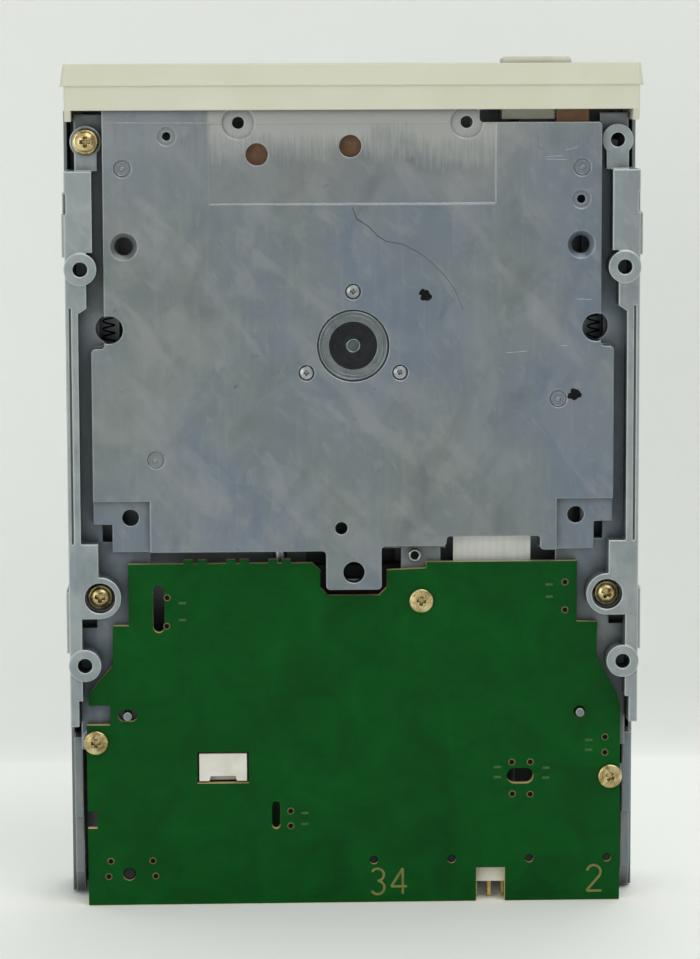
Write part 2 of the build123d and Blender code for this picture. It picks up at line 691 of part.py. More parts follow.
# Sensors
SWITCH_INSET = 2.85
SWITCH_SPREAD = 7.4
SWITCH_BACKSET = 5.0
SWITCH_HALF = 2.6
SWITCH_HIGH = 4.4
SWITCH_FLOOR = 0.8
PLUNGER_R = 1.2
PLUNGER_TRAVEL = 1.2
PLUNGER_LOW_GAP = 0.3
PLUNGER_DOME = 0.4
ZERO_X = -24.0
ZERO_AHEAD = 8.0
ZERO_HALF_X = 2.2
ZERO_HALF_Y = 3.0
ZERO_HIGH = 6.0
ZERO_GAP_HALF = 0.9
ZERO_FOOT = 1.8
SWITCH_X = TRAY_IN - TRAY_LIP - SWITCH_INSET
SWITCH_Y = SLIDE_FRONT + SLIDE_BAR_DEEP + SWITCH_BACKSET
SWITCH_SPOTS = ((SWITCH_X, SWITCH_Y), (-SWITCH_X, SWITCH_Y), (SWITCH_X - SWITCH_SPREAD, SWITCH_Y))
SWITCH_TOP = MOTOR_BOARD_TOP + SWITCH_HIGH
ZERO_Y = CARRIAGE_BACK - ZERO_AHEAD
PLUNGER_LOW = MOTOR_BOARD_TOP + SWITCH_FLOOR + PLUNGER_TRAVEL + PLUNGER_LOW_GAP
PLUNGER_TOP = DISK_LOW + PLUNGER_TRAVEL


def sided(side, near, far):
    """The stretch between two distances from the middle, on the right (1) or the left (-1)."""
    return tuple(sorted((side * near, side * far)))


def around(middle, half):
    """The stretch that reaches this far to both sides of its middle."""
    return (middle - half, middle + half)


def on_floor(shares):
    """Spots on the chassis floor from shares of its half width and of its length."""
    return [(x * FLOOR_REAR_HALF, FLOOR_FRONT + y * FLOOR_LONG) for x, y in shares]


def on_board(shares):
    """Spots on the main board from shares of its half width and of its length."""
    return [(x * BOARD_HALF, BOARD_FRONT + y * BOARD_LONG) for x, y in shares]


def both_sides(spot):
    """A spot and its mirror image across the middle."""
    return ((-spot[0], spot[1]), (spot[0], spot[1]))


def block(x, y, z, mode=Mode.ADD):
    """A block in the active part, with x, y and z each given as (low, high)."""
    with BuildSketch(Plane.XY.offset(z[0])) as face:
        with Locations(((x[0] + x[1]) / 2, (y[0] + y[1]) / 2)):
            Rectangle(x[1] - x[0], y[1] - y[0])
    extrude(face.sketch, amount=z[1] - z[0], mode=mode)


def rounds(spots, radius, z, mode=Mode.ADD):
    """Upright round posts or holes at (x, y) spots over the heights z."""
    with BuildSketch(Plane.XY.offset(z[0])) as face:
        with Locations(*spots):
            Circle(radius)
    extrude(face.sketch, amount=z[1] - z[0], mode=mode)


def flat(points, z, mode=Mode.ADD):
    """A plate of this outline in X and Y over the heights z."""
    with BuildSketch(Plane.XY.offset(z[0])) as face:
        with BuildLine():
            Polyline(*points, close=True)
        make_face()
    extrude(face.sketch, amount=z[1] - z[0], mode=mode)


def upright(points, x, mode=Mode.ADD):
    """A plate of this outline in Y and Z over the stretch x."""
    with BuildSketch(Plane.YZ.offset(x[0])) as face:
        with BuildLine():
            Polyline(*points, close=True)
        make_face()
    extrude(face.sketch, amount=x[1] - x[0], mode=mode)


def crosswise(spots, radius, x, mode=Mode.ADD):
    """Round pins or holes along X at (y, z) spots over the stretch x."""
    with BuildSketch(Plane.YZ.offset(x[0])) as face:
        with Locations(*spots):
            Circle(radius)
    extrude(face.sketch, amount=x[1] - x[0], mode=mode)


def lengthwise(spots, radius, y, mode=Mode.ADD):
    """Round rods or holes along Y at (x, z) spots over the stretch y."""
    with BuildSketch(Plane.XZ.offset(-y[1])) as face:
        with Locations(*spots):
            Circle(radius)
    extrude(face.sketch, amount=y[1] - y[0], mode=mode)


def screws_up(spots, head_r, head_high, shank_r, seat, tip):
    """Screws put in from below: heads under the height seat, shanks up to the height tip."""
    rounds(spots, head_r, (seat - head_high, seat))
    rounds(spots, shank_r, (seat, tip))


def save(part, name):
    """Label a finished piece and write it as a STEP file of the same name."""
    part.label = name
    export_step(part, f"parts/{name}.step")


os.makedirs("parts", exist_ok=True)
BELOW = -OVERRUN
ABOVE_PLATE = PLATE_TOP + OVERRUN
ABOVE_FLANGE = FLANGE_TOP + OVERRUN
STUD_SLOT_LOW = STUD_Z - TRAY_LIFT - STUD_R - STUD_GAP
SPINDLE_SPOT = (0, SPINDLE_Y)
FRONT_BOSS = (FRONT_BOSS_X, FRONT_BOSS_Y)
REAR_BOSS = (REAR_BOSS_X, REAR_BOSS_Y)
SIDE_HOLES = [(SIDE_HOLE_Y + step * HOLE_SPAN_Y, SIDE_HOLE_Z) for step in (0, 1)]
MOUNT_SPOTS = [(x * HOLE_SPAN_X / 2, y * HOLE_SPAN_Y / 2) for x in (-1, 1) for y in (-1, 1)]
RAIL_SCREW_SPOTS = (*both_sides(FRONT_BOSS), *both_sides(REAR_BOSS))
BEARING_TURNS = [360 / BEARING_SCREW_COUNT * step for step in range(BEARING_SCREW_COUNT)]
BEARING_SPOTS = [
    (BEARING_CIRCLE_R * sin(radians(turn)), SPINDLE_Y - BEARING_CIRCLE_R * cos(radians(turn)))
    for turn in BEARING_TURNS
]
ARM_SPOT, LEFT_SPOT, RIGHT_SPOT = on_board(BOARD_SCREW_SHARES)
PEG_SPOT = on_board((PEG_SHARES,))[0]
WINDOW_X = WINDOW_SHARE * BOARD_HALF
WINDOW_Y = BEAM_BACK + WINDOW_BEHIND
BOARD_ARM_TOP = BOARD_TOP + BOARD_ARM_THICK
BOARD_BOSS_TOP = BOARD_TOP + BOARD_BOSS_HIGH
FLOOR_OUTLINE = (
    (-FLOOR_FRONT_HALF, FLOOR_FRONT), (BAY_LEFT, FLOOR_FRONT), (BAY_LEFT, BAY_BACK),
    (FLOOR_FRONT_HALF, BAY_BACK), (FLOOR_FRONT_HALF, FLOOR_STEP_Y), (FLOOR_REAR_HALF, FLOOR_STEP_Y),
    (FLOOR_REAR_HALF, FLOOR_REAR), (CABLE_RIGHT, FLOOR_REAR), (CABLE_RIGHT, CABLE_Y),
    (CABLE_LEFT, CABLE_Y), (CABLE_LEFT, FLOOR_NOTCH_Y), (TAB_HALF, FLOOR_NOTCH_Y),
    (TAB_HALF, TAB_BACK), (-TAB_HALF, TAB_BACK), (-TAB_HALF, FLOOR_REAR),
    (-FLOOR_REAR_HALF, FLOOR_REAR), (-FLOOR_REAR_HALF, FLOOR_STEP_Y), (-FLOOR_FRONT_HALF, FLOOR_STEP_Y),
)

# Die-cast chassis: side flanges first, then the floor, which hangs below them as a stepped pan
with BuildPart() as chassis:
    block((-WALL_OUT, WALL_OUT), (FLANGE_FRONT, BEAM_BACK), (FLANGE_Z, FLANGE_TOP))
    block((-DECK_IN, DECK_IN), (FLOOR_REAR, BEAM_FRONT), (FLANGE_Z, FLANGE_TOP), Mode.SUBTRACT)
    block((BAY_LEFT, FLOOR_FRONT_HALF), (FLANGE_FRONT, BAY_BACK), (FLANGE_Z, FLANGE_TOP), Mode.SUBTRACT)
    with BuildSketch(Plane.XY.offset(PLATE_Z)) as floor:
        with BuildLine():
            Polyline(*FLOOR_OUTLINE, close=True)
        make_face()
        fillet(floor.vertices(), FLOOR_CORNER)
    extrude(amount=FLANGE_TOP - PLATE_Z)
    with BuildSketch(Plane.XY.offset(PLATE_TOP)):
        with BuildLine():
            Polyline(*FLOOR_OUTLINE, close=True)
        make_face()
        offset(amount=-RIM, kind=Kind.INTERSECTION, mode=Mode.REPLACE)
    extrude(amount=ABOVE_FLANGE - PLATE_TOP, mode=Mode.SUBTRACT)
    # Gaps in the rim for the flat cable and for the motor board's front tab
    block(
        (CABLE_LEFT, CABLE_RIGHT), (CABLE_Y - RIM, FLOOR_REAR + OVERRUN), (PLATE_TOP, ABOVE_FLANGE),
        Mode.SUBTRACT,
    )
    block(
        (BAY_TAB_LEFT, FLOOR_FRONT_HALF - RIM), (FLOOR_FRONT, BAY_BACK + RIM), (PLATE_TOP, ABOVE_FLANGE),
        Mode.SUBTRACT,
    )
    # Side walls, rear wings and rear beam
    for side in (-1, 1):
        block(sided(side, WALL_IN, WALL_OUT), (FLANGE_FRONT, BEAM_BACK), (FLANGE_Z, WALL_TOP))
        block(sided(side, WALL_IN, WING_OUT), (BEAM_BACK - WING_JOG, BEAM_BACK), (WING_Z, WALL_TOP))
        upright(
            (
                (BEAM_BACK - WING_JOG, WING_Z), (WING_STEP_Y, WING_Z), (WING_STEP_Y, WING_Z + WING_STEP_UP),
                (WING_BACK - WING_SLANT, WING_Z + WING_STEP_UP), (WING_BACK, WING_Z + WING_SLANT),
                (WING_BACK, WALL_TOP - WING_SLANT), (WING_BACK - WING_SLANT, WALL_TOP),
                (BEAM_BACK - WING_JOG, WALL_TOP),
            ),
            sided(side, WING_IN, WING_OUT),
        )
    block((-WALL_OUT, WALL_OUT), (BEAM_FRONT, BEAM_BACK), (FLANGE_Z, BEAM_TOP))
    # Seats of the main board: an arm off the floor, a boss under the beam and one on the right wing
    block(
        around(ARM_SPOT[0], BOARD_ARM_HALF), (FLOOR_NOTCH_Y - RIM, ARM_SPOT[1] + BOARD_ARM_END),
        (BOARD_TOP, BOARD_ARM_TOP),
    )
    rounds(
        ((ARM_SPOT[0] - RIVET_SIDE, FLOOR_NOTCH_Y + RIVET_BACK),), RIVET_R,
        (BOARD_TOP - RIVET_HIGH, BOARD_TOP),
    )
    rounds((LEFT_SPOT,), BOARD_BOSS_R, (BOARD_TOP, BEAM_TOP))
    rounds((RIGHT_SPOT,), BOARD_BOSS_R, (BOARD_TOP, BOARD_BOSS_TOP))
    block(
        (RIGHT_SPOT[0], WING_IN + WING_GAP), around(RIGHT_SPOT[1], SHANK_R), (WING_Z, BOARD_BOSS_TOP),
    )
    rounds(both_sides(PEG_SPOT), PEG_R, (FLANGE_Z - PEG_LONG, FLANGE_TOP))
    # Posts and troughs that hold the ends of the guide rods
    for x, height in ROD_SPOTS:
        block(around(x, ROD_POST_HALF), (ROD_POST_FRONT, ROD_POST_BACK), (PLATE_TOP, BEAM_TOP))
    lengthwise(ROD_SPOTS, ROD_R + PIN_FIT, (ROD_POST_FRONT - OVERRUN, BEAM_BACK + OVERRUN), Mode.SUBTRACT)
    for x, height in ROD_SPOTS:
        block(
            around(x, ROD_R), (ROD_POST_FRONT - OVERRUN, BEAM_BACK + OVERRUN), (height, BEAM_TOP + OVERRUN),
            Mode.SUBTRACT,
        )
    # Posts for the slide springs
    rounds(both_sides((SPRING_X, SPRING_POST_Y)), SPRING_POST_R, (FLANGE_Z, SPRING_POST_TOP))
    # Recesses in the underside of the floor
    block((-PANEL_HALF, PANEL_HALF), (PANEL_FRONT, PANEL_BACK), (BELOW, PLATE_Z + PANEL_DEEP), Mode.SUBTRACT)
    for side in (-1, 1):
        block(
            sided(side, POCKET_IN, FLOOR_REAR_HALF + SEAT_GAP), (POCKET_FRONT, FLOOR_REAR + SEAT_GAP),
            (BELOW, PLATE_Z + POCKET_DEEP), Mode.SUBTRACT,
        )
        block(
            sided(side, CORNER_IN, FLOOR_REAR_HALF + SEAT_GAP), (CORNER_FRONT, FLOOR_REAR + SEAT_GAP),
            (BELOW, FLANGE_Z), Mode.SUBTRACT,
        )
    # Round holes, rings and ejector marks
    rounds(on_floor(SPOT_SHARES), SPOT_HOLE_R, (BELOW, ABOVE_PLATE), Mode.SUBTRACT)
    rounds(on_floor(SPOT_SHARES), SPOT_RING_R, (BELOW, PLATE_Z + SPOT_RING_DEEP), Mode.SUBTRACT)
    rounds(on_floor(SMALL_HOLE_SHARES), SMALL_HOLE_R, (BELOW, ABOVE_PLATE), Mode.SUBTRACT)
    rounds(on_floor(SMALL_HOLE_SHARES), SMALL_RING_R, (BELOW, PLATE_Z + SMALL_RING_DEEP), Mode.SUBTRACT)
    rounds(on_floor(VIEW_SHARES), VIEW_HOLE_R, (BELOW, ABOVE_PLATE), Mode.SUBTRACT)
    rounds(on_floor(PEEP_SHARES), PEEP_HOLE_R, (BELOW, ABOVE_PLATE), Mode.SUBTRACT)
    rounds(((0, TAB_BACK - TAB_HOLE_IN),), TAB_HOLE_R, (BELOW, ABOVE_PLATE), Mode.SUBTRACT)
    rounds(on_floor(EJECTOR_SHARES), EJECTOR_R, (BELOW, PLATE_Z + EJECTOR_DEEP), Mode.SUBTRACT)
    rounds(on_floor(CONE_SHARES), CONE_HOLE_R, (BELOW, ABOVE_PLATE), Mode.SUBTRACT)
    with Locations(*[(x, y, PLATE_Z + CONE_DEEP / 2) for x, y in on_floor(CONE_SHARES)]):
        Cone(CONE_HOLE_R + CONE_DEEP, CONE_HOLE_R, CONE_DEEP, mode=Mode.SUBTRACT)
    rounds(on_floor(GUIDE_SHARES), GUIDE_HOLE_R, (BELOW, ABOVE_FLANGE), Mode.SUBTRACT)
    rounds(on_floor(POCKET_HOLE_SHARES), POCKET_HOLE_R, (BELOW, ABOVE_PLATE), Mode.SUBTRACT)
    # Seat of the spindle bearing and the screw holes
    rounds((SPINDLE_SPOT,), BEARING_R + BEARING_HOLE_GAP, (BELOW, ABOVE_PLATE), Mode.SUBTRACT)
    rounds(BEARING_SPOTS, SMALL_SHANK_R + PIN_FIT, (BELOW, ABOVE_PLATE), Mode.SUBTRACT)
    rounds(BEARING_SPOTS, SMALL_HEAD_R + SEAT_GAP, (BELOW, PLATE_Z + SMALL_HEAD_HIGH), Mode.SUBTRACT)
    rounds(RAIL_SCREW_SPOTS, SHANK_R + PIN_FIT, (FLANGE_Z - OVERRUN, ABOVE_FLANGE), Mode.SUBTRACT)
    for spot, top in ((ARM_SPOT, ABOVE_FLANGE), (LEFT_SPOT, BEAM_TOP), (RIGHT_SPOT, BOARD_BOSS_TOP)):
        rounds((spot,), SHANK_R + PIN_FIT, (BELOW, top), Mode.SUBTRACT)
    lengthwise(STEPPER_SPOTS, SMALL_SHANK_R + PIN_FIT, (BEAM_FRONT, BEAM_BACK + OVERRUN), Mode.SUBTRACT)
    # Room for the ends of the side mounting screws
    for side in (-1, 1):
        crosswise(
            SIDE_HOLES, MOUNT_HOLE_R + RUN_GAP, sided(side, WALL_OUT - SIDE_SCREW_REACH, WALL_OUT + OVERRUN),
            Mode.SUBTRACT,
        )
    # Upright slots in the side walls that guide the tray's studs
    for y in STUD_YS:
        block(
            (-WALL_OUT - OVERRUN, WALL_OUT + OVERRUN), around(y, STUD_R + STUD_GAP),
            (STUD_SLOT_LOW, WALL_TOP + OVERRUN), Mode.SUBTRACT,
        )
save(chassis.part, "chassis")

# Mounting rail: a foot under the chassis flange, an outer wall, screw bosses and side pads
RIGHT_MOUNTS = [spot for spot in MOUNT_SPOTS if spot[0] > 0]
BLOCK_IN = RAIL_OUT - BLOCK_DEEP
NECK_IN = RAIL_OUT - NECK_DEEP
FOOT_IN = RAIL_OUT - FOOT_DEEP
EAR_IN = RAIL_OUT - EAR_DEEP
with BuildPart() as right_rail:
    flat(
        (
            (RAIL_OUT, RAIL_FRONT), (BLOCK_IN, RAIL_FRONT), (BLOCK_IN, BLOCK_BACK), (NECK_IN, BLOCK_BACK),
            (NECK_IN, NECK_BACK), (FOOT_IN, NECK_BACK + OVERRUN), (FOOT_IN, EAR_FRONT), (EAR_IN, EAR_FRONT),
            (EAR_IN, EAR_BACK), (FOOT_IN, EAR_BACK), (FOOT_IN, FOOT_BACK), (RAIL_OUT, FOOT_BACK),
        ),
        (RAIL_Z, FLANGE_Z),
    )
    block((RAIL_IN, RAIL_OUT), (RAIL_FRONT, RAIL_BACK), (RAIL_Z, RAIL_TOP))
    rounds(RIGHT_MOUNTS, BOSS_R, (0, FLANGE_Z))
    rounds((REAR_BOSS,), REAR_BOSS_R, (RAIL_Z, FLANGE_Z))
    block((REAR_BOSS_X, RAIL_OUT), (EAR_BACK, REAR_BOSS_Y + REAR_BOSS_R), (RAIL_Z, FLANGE_Z))
    rounds((FRONT_BOSS,), FRONT_BOSS_R, (FRONT_BOSS_Z, FLANGE_Z))
    block(around(FRONT_BOSS_X, FRONT_ARM_HALF), (FRONT_BOSS_Y, RAIL_FRONT), (FRONT_BOSS_Z, FLANGE_Z))
    for y, _ in SIDE_HOLES:
        block((RAIL_IN, HALF_WIDTH), around(y, PAD_HALF), (PAD_Z, PAD_TOP))
    # Everything outside the rail's own width goes, then the holes are cut
    block((HALF_WIDTH, HALF_WIDTH + BOSS_R), (RAIL_FRONT, RAIL_BACK), (BELOW, RAIL_TOP), Mode.SUBTRACT)
    rounds(RIGHT_MOUNTS, MOUNT_HOLE_R, (BELOW, FLANGE_Z), Mode.SUBTRACT)
    crosswise(SIDE_HOLES, MOUNT_HOLE_R, (RAIL_IN - OVERRUN, HALF_WIDTH + OVERRUN), Mode.SUBTRACT)
    rounds((FRONT_BOSS, REAR_BOSS), SHANK_R + PIN_FIT, (BELOW, FLANGE_Z), Mode.SUBTRACT)
    rounds((REAR_BOSS,), REAR_RECESS_R, (BELOW, RAIL_Z + REAR_RECESS_DEEP), Mode.SUBTRACT)
    block(
        (RAIL_OUT - GROOVE_IN, RAIL_OUT - GROOVE_IN + GROOVE_WIDE), (NECK_BACK, EAR_FRONT),
        (BELOW, RAIL_Z + GROOVE_DEEP), Mode.SUBTRACT,
    )
    block(
        (HALF_WIDTH - PAD_SLOT_WIDE, HALF_WIDTH + OVERRUN), around(PAD_SLOT_Y, PAD_SLOT_LONG / 2),
        (BELOW, FLANGE_Z), Mode.SUBTRACT,
    )
save(right_rail.part, "right_rail")
with BuildPart() as left_rail:
    mirror(right_rail.part, about=Plane.YZ)
save(left_rail.part, "left_rail")

# Front panel: drafted lip, skirt round the chassis, two legs and the openings in its face
FACE_YS = (BEZEL_FRONT - OVERRUN, FACE_BACK + OVERRUN)
BUTTON_ZS = (BUTTON_Z, BUTTON_Z + BUTTON_HIGH)
LED_XS = around(LED_X, LED_WIDE / 2)
LED_ZS = around(LED_Z, LED_HIGH / 2)
with BuildPart() as bezel:
    with BuildSketch(Plane.XZ.offset(-BEZEL_STEP)):
        with Locations((0, HEIGHT / 2)):
            RectangleRounded(2 * HALF_WIDTH, HEIGHT, LIP_CORNER)
    extrude(amount=LIP_DEEP, taper=LIP_DRAFT_DEG)
    block((-SKIRT_HALF, SKIRT_HALF), (BEZEL_STEP, BEZEL_BACK), (SKIRT_Z, HEIGHT - SKIRT_Z))
    for side in (-1, 1):
        upright(
            (
                (BEZEL_BACK, SKIRT_Z), (BEZEL_BACK + LEG_LONG, SKIRT_Z + LEG_LONG / 2),
                (BEZEL_BACK + LEG_LONG, LEG_HIGH), (BEZEL_BACK, LEG_HIGH + LEG_LONG),
            ),
            sided(side, BEZEL_IN, SKIRT_HALF),
        )
    block(
        (-BEZEL_IN, BEZEL_IN), (FACE_BACK, BEZEL_BACK + OVERRUN),
        (SKIRT_Z + SKIRT_WALL, HEIGHT - SKIRT_Z - SKIRT_WALL), Mode.SUBTRACT,
    )
    # Finger scoop round the middle of the disk slot, then the slot itself
    with BuildSketch(Plane.XZ.offset(FRONT_REACH - SCOOP_DEEP)):
        with Locations((0, (SLOT_LOW + SLOT_TOP) / 2)):
            SlotOverall(SCOOP_WIDE, SCOOP_HIGH)
    extrude(amount=SCOOP_DEEP + OVERRUN, mode=Mode.SUBTRACT)
    block((-SLOT_HALF, SLOT_HALF), FACE_YS, (SLOT_LOW, SLOT_TOP), Mode.SUBTRACT)
    crosswise(
        ((DOOR_PIN_Y, DOOR_PIN_Z),), DOOR_PIN_R + PIN_FIT,
        (-SLOT_HALF - DOOR_PIN_LONG, SLOT_HALF + DOOR_PIN_LONG), Mode.SUBTRACT,
    )
    block(
        around(BUTTON_X, BUTTON_HALF + BUTTON_GAP), FACE_YS,
        (BUTTON_ZS[0] - BUTTON_GAP, BUTTON_ZS[1] + BUTTON_GAP), Mode.SUBTRACT,
    )
    block(LED_XS, FACE_YS, LED_ZS, Mode.SUBTRACT)
save(bezel.part, "bezel")

# Light pipe in its window
with BuildPart() as activity_led:
    block(LED_XS, (BEZEL_FRONT, BEZEL_FRONT + LED_LONG), LED_ZS)
    fillet(activity_led.faces().sort_by(Axis.Y)[0].edges(), LED_EDGE)
save(activity_led.part, "activity_led")

# Cover: one folded sheet with rounded bends, a pressed panel, side windows and a rear lip
COVER_HIGH = HEIGHT - RAIL_TOP
with BuildPart() as top_cover:
    with BuildSketch(Plane.XZ.offset(-COVER_BACK)) as fold:
        with Locations((0, RAIL_TOP + COVER_HIGH / 2)):
            Rectangle(2 * HALF_WIDTH, COVER_HIGH)
        fillet(fold.vertices().group_by(Axis.Y)[-1], COVER_BEND)
        with Locations((0, RAIL_TOP + (COVER_HIGH - COVER_SHEET) / 2)):
            Rectangle(2 * HALF_WIDTH - 2 * COVER_SHEET, COVER_HIGH - COVER_SHEET, mode=Mode.SUBTRACT)
    extrude(amount=COVER_BACK - COVER_FRONT)
    block(
        (-HALF_WIDTH + COVER_BEND, HALF_WIDTH - COVER_BEND), (COVER_BACK - COVER_SHEET, COVER_BACK),
        (HEIGHT - COVER_LIP_HIGH, HEIGHT - COVER_SHEET),
    )
    block(
        (-COVER_LIP_CUT_HALF, COVER_LIP_CUT_HALF),
        (COVER_BACK - COVER_SHEET - OVERRUN, COVER_BACK + OVERRUN),
        (HEIGHT - COVER_LIP_HIGH - OVERRUN, HEIGHT - COVER_LIP_HIGH / 2), Mode.SUBTRACT,
    )
    with BuildSketch(Plane.XY.offset(HEIGHT - COVER_PANEL_DEEP)):
        with Locations((0, (COVER_FRONT + COVER_BACK) / 2)):
            RectangleRounded(
                2 * (HALF_WIDTH - COVER_PANEL_INSET), COVER_BACK - COVER_FRONT - 2 * COVER_PANEL_INSET,
                COVER_PANEL_CORNER,
            )
    extrude(amount=COVER_PANEL_DEEP + OVERRUN, mode=Mode.SUBTRACT)
    for share in COVER_WINDOW_SHARES:
        block(
            (-HALF_WIDTH - OVERRUN, HALF_WIDTH + OVERRUN), around(share * COVER_BACK, COVER_WINDOW_LONG / 2),
            (RAIL_TOP + COVER_WINDOW_HIGH, RAIL_TOP + 2 * COVER_WINDOW_HIGH), Mode.SUBTRACT,
        )
save(top_cover.part, "top_cover")

# Main board with its notches, snap tabs, slots and holes
BOARD_TAB_X = TAB_HALF + BOARD_TAB_SIDE
BOARD_TAB_Y = TAB_BACK + BOARD_TAB_GAP
KEY_XS = around(HEADER_X, KEY_NOTCH_HALF)
KEY_FRONT = REAR_REACH - KEY_NOTCH_DEEP
with BuildPart() as main_board:
    flat(
        (
            (-BOARD_HALF, REAR_REACH), *on_board(BOARD_LEFT_SHARES),
            (-BOARD_TAB_X - BOARD_TAB_CORNER, BOARD_FRONT), (-BOARD_TAB_X, BOARD_FRONT + BOARD_TAB_CORNER),
            (-BOARD_TAB_X, BOARD_TAB_Y - BOARD_TAB_CORNER), (-BOARD_TAB_X + BOARD_TAB_CORNER, BOARD_TAB_Y),
            (BOARD_TAB_X - BOARD_TAB_CORNER, BOARD_TAB_Y), (BOARD_TAB_X, BOARD_TAB_Y - BOARD_TAB_CORNER),
            (BOARD_TAB_X, BOARD_FRONT + BOARD_TAB_CORNER), *on_board(BOARD_RIGHT_SHARES),
            (BOARD_HALF, REAR_REACH), (KEY_XS[1], REAR_REACH), (KEY_XS[1], KEY_FRONT),
            (KEY_XS[0], KEY_FRONT), (KEY_XS[0], REAR_REACH),
        ),
        (BOARD_Z, BOARD_TOP),
    )
    for share in SNAP_TAB_SHARES:
        for x in around(share * BOARD_HALF, SNAP_TAB_SPREAD / 2):
            block(around(x, SNAP_TAB_WIDE / 2), around(BOARD_FRONT, SNAP_TAB_LONG), (BOARD_Z, BOARD_TOP))
    with BuildSketch(Plane.XY.offset(BOARD_Z)):
        with Locations(ARM_SPOT, LEFT_SPOT, RIGHT_SPOT):
            Circle(BOARD_SCREW_HOLE_R)
        with Locations(PEG_SPOT):
            Circle(PEG_HOLE_R)
        with Locations((-PEG_SPOT[0], PEG_SPOT[1])):
            SlotOverall(PEG_SLOT_LONG, 2 * PEG_HOLE_R)
        with Locations(*on_board((LONG_SLOT_SHARES,))):
            SlotOverall(LONG_SLOT_LONG, LONG_SLOT_WIDE, rotation=90)
        with Locations(*on_board((SHORT_SLOT_SHARES,))):
            SlotOverall(SHORT_SLOT_LONG, SHORT_SLOT_WIDE, rotation=90)
        with Locations(*on_board((OVAL_SHARES,))):
            SlotOverall(OVAL_LONG, OVAL_WIDE)
        with Locations((WINDOW_X, WINDOW_Y)):
            Rectangle(WINDOW_WIDE, WINDOW_LONG)
        with Locations((HEADER_X, HEADER_FRONT + HEADER_PEG_IN)):
            with GridLocations(HEADER_PEG_SPREAD, 0, HEADER_PEG_COUNT, 1):
                Circle(HEADER_PEG_R)
        with Locations((POWER_X, POWER_BACK - POWER_PEG_INSET)):
            Circle(POWER_HOLE_R)
    extrude(amount=BOARD, mode=Mode.SUBTRACT)
save(main_board.part, "main_board")

# Screws of the rails (the right front one is missing), of the main board and of the bearing
with BuildPart() as rail_screws:
    screws_up(both_sides(FRONT_BOSS)[:1], RAIL_HEAD_R, RAIL_HEAD_HIGH, SHANK_R, FRONT_BOSS_Z, FLANGE_TOP)
    screws_up(
        both_sides(REAR_BOSS), RAIL_HEAD_R, RAIL_HEAD_HIGH, SHANK_R, RAIL_Z + REAR_RECESS_DEEP, FLANGE_TOP
    )
save(rail_screws.part, "rail_screws")
with BuildPart() as board_screws:
    screws_up(
        (ARM_SPOT, LEFT_SPOT, RIGHT_SPOT), BOARD_HEAD_R, BOARD_HEAD_HIGH, SHANK_R, BOARD_Z, BOARD_ARM_TOP
    )
save(board_screws.part, "board_screws")
with BuildPart() as bearing_screws:
    screws_up(
        BEARING_SPOTS, SMALL_HEAD_R, SMALL_HEAD_HIGH, SMALL_SHANK_R, PLATE_Z + SMALL_HEAD_HIGH, FLANGE_UP
    )
save(bearing_screws.part, "bearing_screws")

# Interface header and its pins
with BuildPart() as interface_header:
    block(
        around(HEADER_X, HEADER_HALF), (HEADER_FRONT, HEADER_BACK), (BOARD_TOP, BOARD_TOP + HEADER_HIGH),
    )
    chamfer(interface_header.edges().filter_by(Axis.X).group_by(Axis.Z)[-1], HEADER_END / 2)
save(interface_header.part, "interface_header")
with BuildPart() as interface_pins:
    with BuildSketch(Plane.XZ.offset(-REAR_REACH)):
        with Locations((HEADER_X, BOARD_TOP + PIN_LOW + PIN_PITCH / 2)):
            with GridLocations(PIN_PITCH, PIN_PITCH, PIN_COLUMNS, PIN_ROWS):
                Rectangle(PIN_SIDE, PIN_SIDE)
    extrude(amount=HEADER_INSET + PIN_BURIED)
save(interface_pins.part, "interface_pins")

# Power inlet and its pins
with BuildPart() as power_header:
    block(around(POWER_X, POWER_HALF), (POWER_FRONT, POWER_BACK), (BOARD_TOP, BOARD_TOP + POWER_HIGH))
    block(
        around(POWER_X, POWER_HALF - POWER_WALL), ((POWER_FRONT + POWER_BACK) / 2, POWER_BACK + OVERRUN),
        (BOARD_TOP + POWER_WALL, BOARD_TOP + POWER_HIGH - POWER_WALL), Mode.SUBTRACT,
    )
    chamfer(power_header.edges().filter_by(Axis.Y).group_by(Axis.Z)[-1], POWER_WALL / 2)
save(power_header.part, "power_header")
with BuildPart() as power_pins:
    with BuildSketch(Plane.XZ.offset(-POWER_PIN_BACK)):
        with Locations((POWER_X, BOARD_TOP + POWER_HIGH / 2)):
            with GridLocations(POWER_PITCH, 0, POWER_PINS, 1):
                Rectangle(POWER_PIN_SIDE, POWER_PIN_SIDE)
    extrude(amount=POWER_PIN_BACK - POWER_FRONT - POWER_WALL)
save(power_pins.part, "power_pins")

# Socket of the head cable, which fills the board's window and has a slanted notch
SOCKET_XS = around(WINDOW_X, WINDOW_WIDE / 2 - HEAD_SOCKET_GAP)
SOCKET_YS = around(WINDOW_Y, WINDOW_LONG / 2 - HEAD_SOCKET_GAP)
SOCKET_Z = BOARD_Z + HEAD_SOCKET_UP
with BuildPart() as head_socket:
    block(SOCKET_XS, SOCKET_YS, (SOCKET_Z, SOCKET_Z + HEAD_SOCKET_HIGH))
    flat(
        (
            (WINDOW_X - HEAD_NOTCH_HALF - HEAD_SOCKET_GAP, SOCKET_YS[1] + HEAD_SOCKET_GAP),
            (WINDOW_X - HEAD_NOTCH_HALF, SOCKET_YS[1] - HEAD_NOTCH_DEEP),
            (WINDOW_X + HEAD_NOTCH_HALF, SOCKET_YS[1] - HEAD_NOTCH_DEEP),
            (WINDOW_X + HEAD_NOTCH_HALF + HEAD_SOCKET_GAP, SOCKET_YS[1] + HEAD_SOCKET_GAP),
        ),
        (BELOW, BOARD_TOP), Mode.SUBTRACT,
    )
save(head_socket.part, "head_socket")

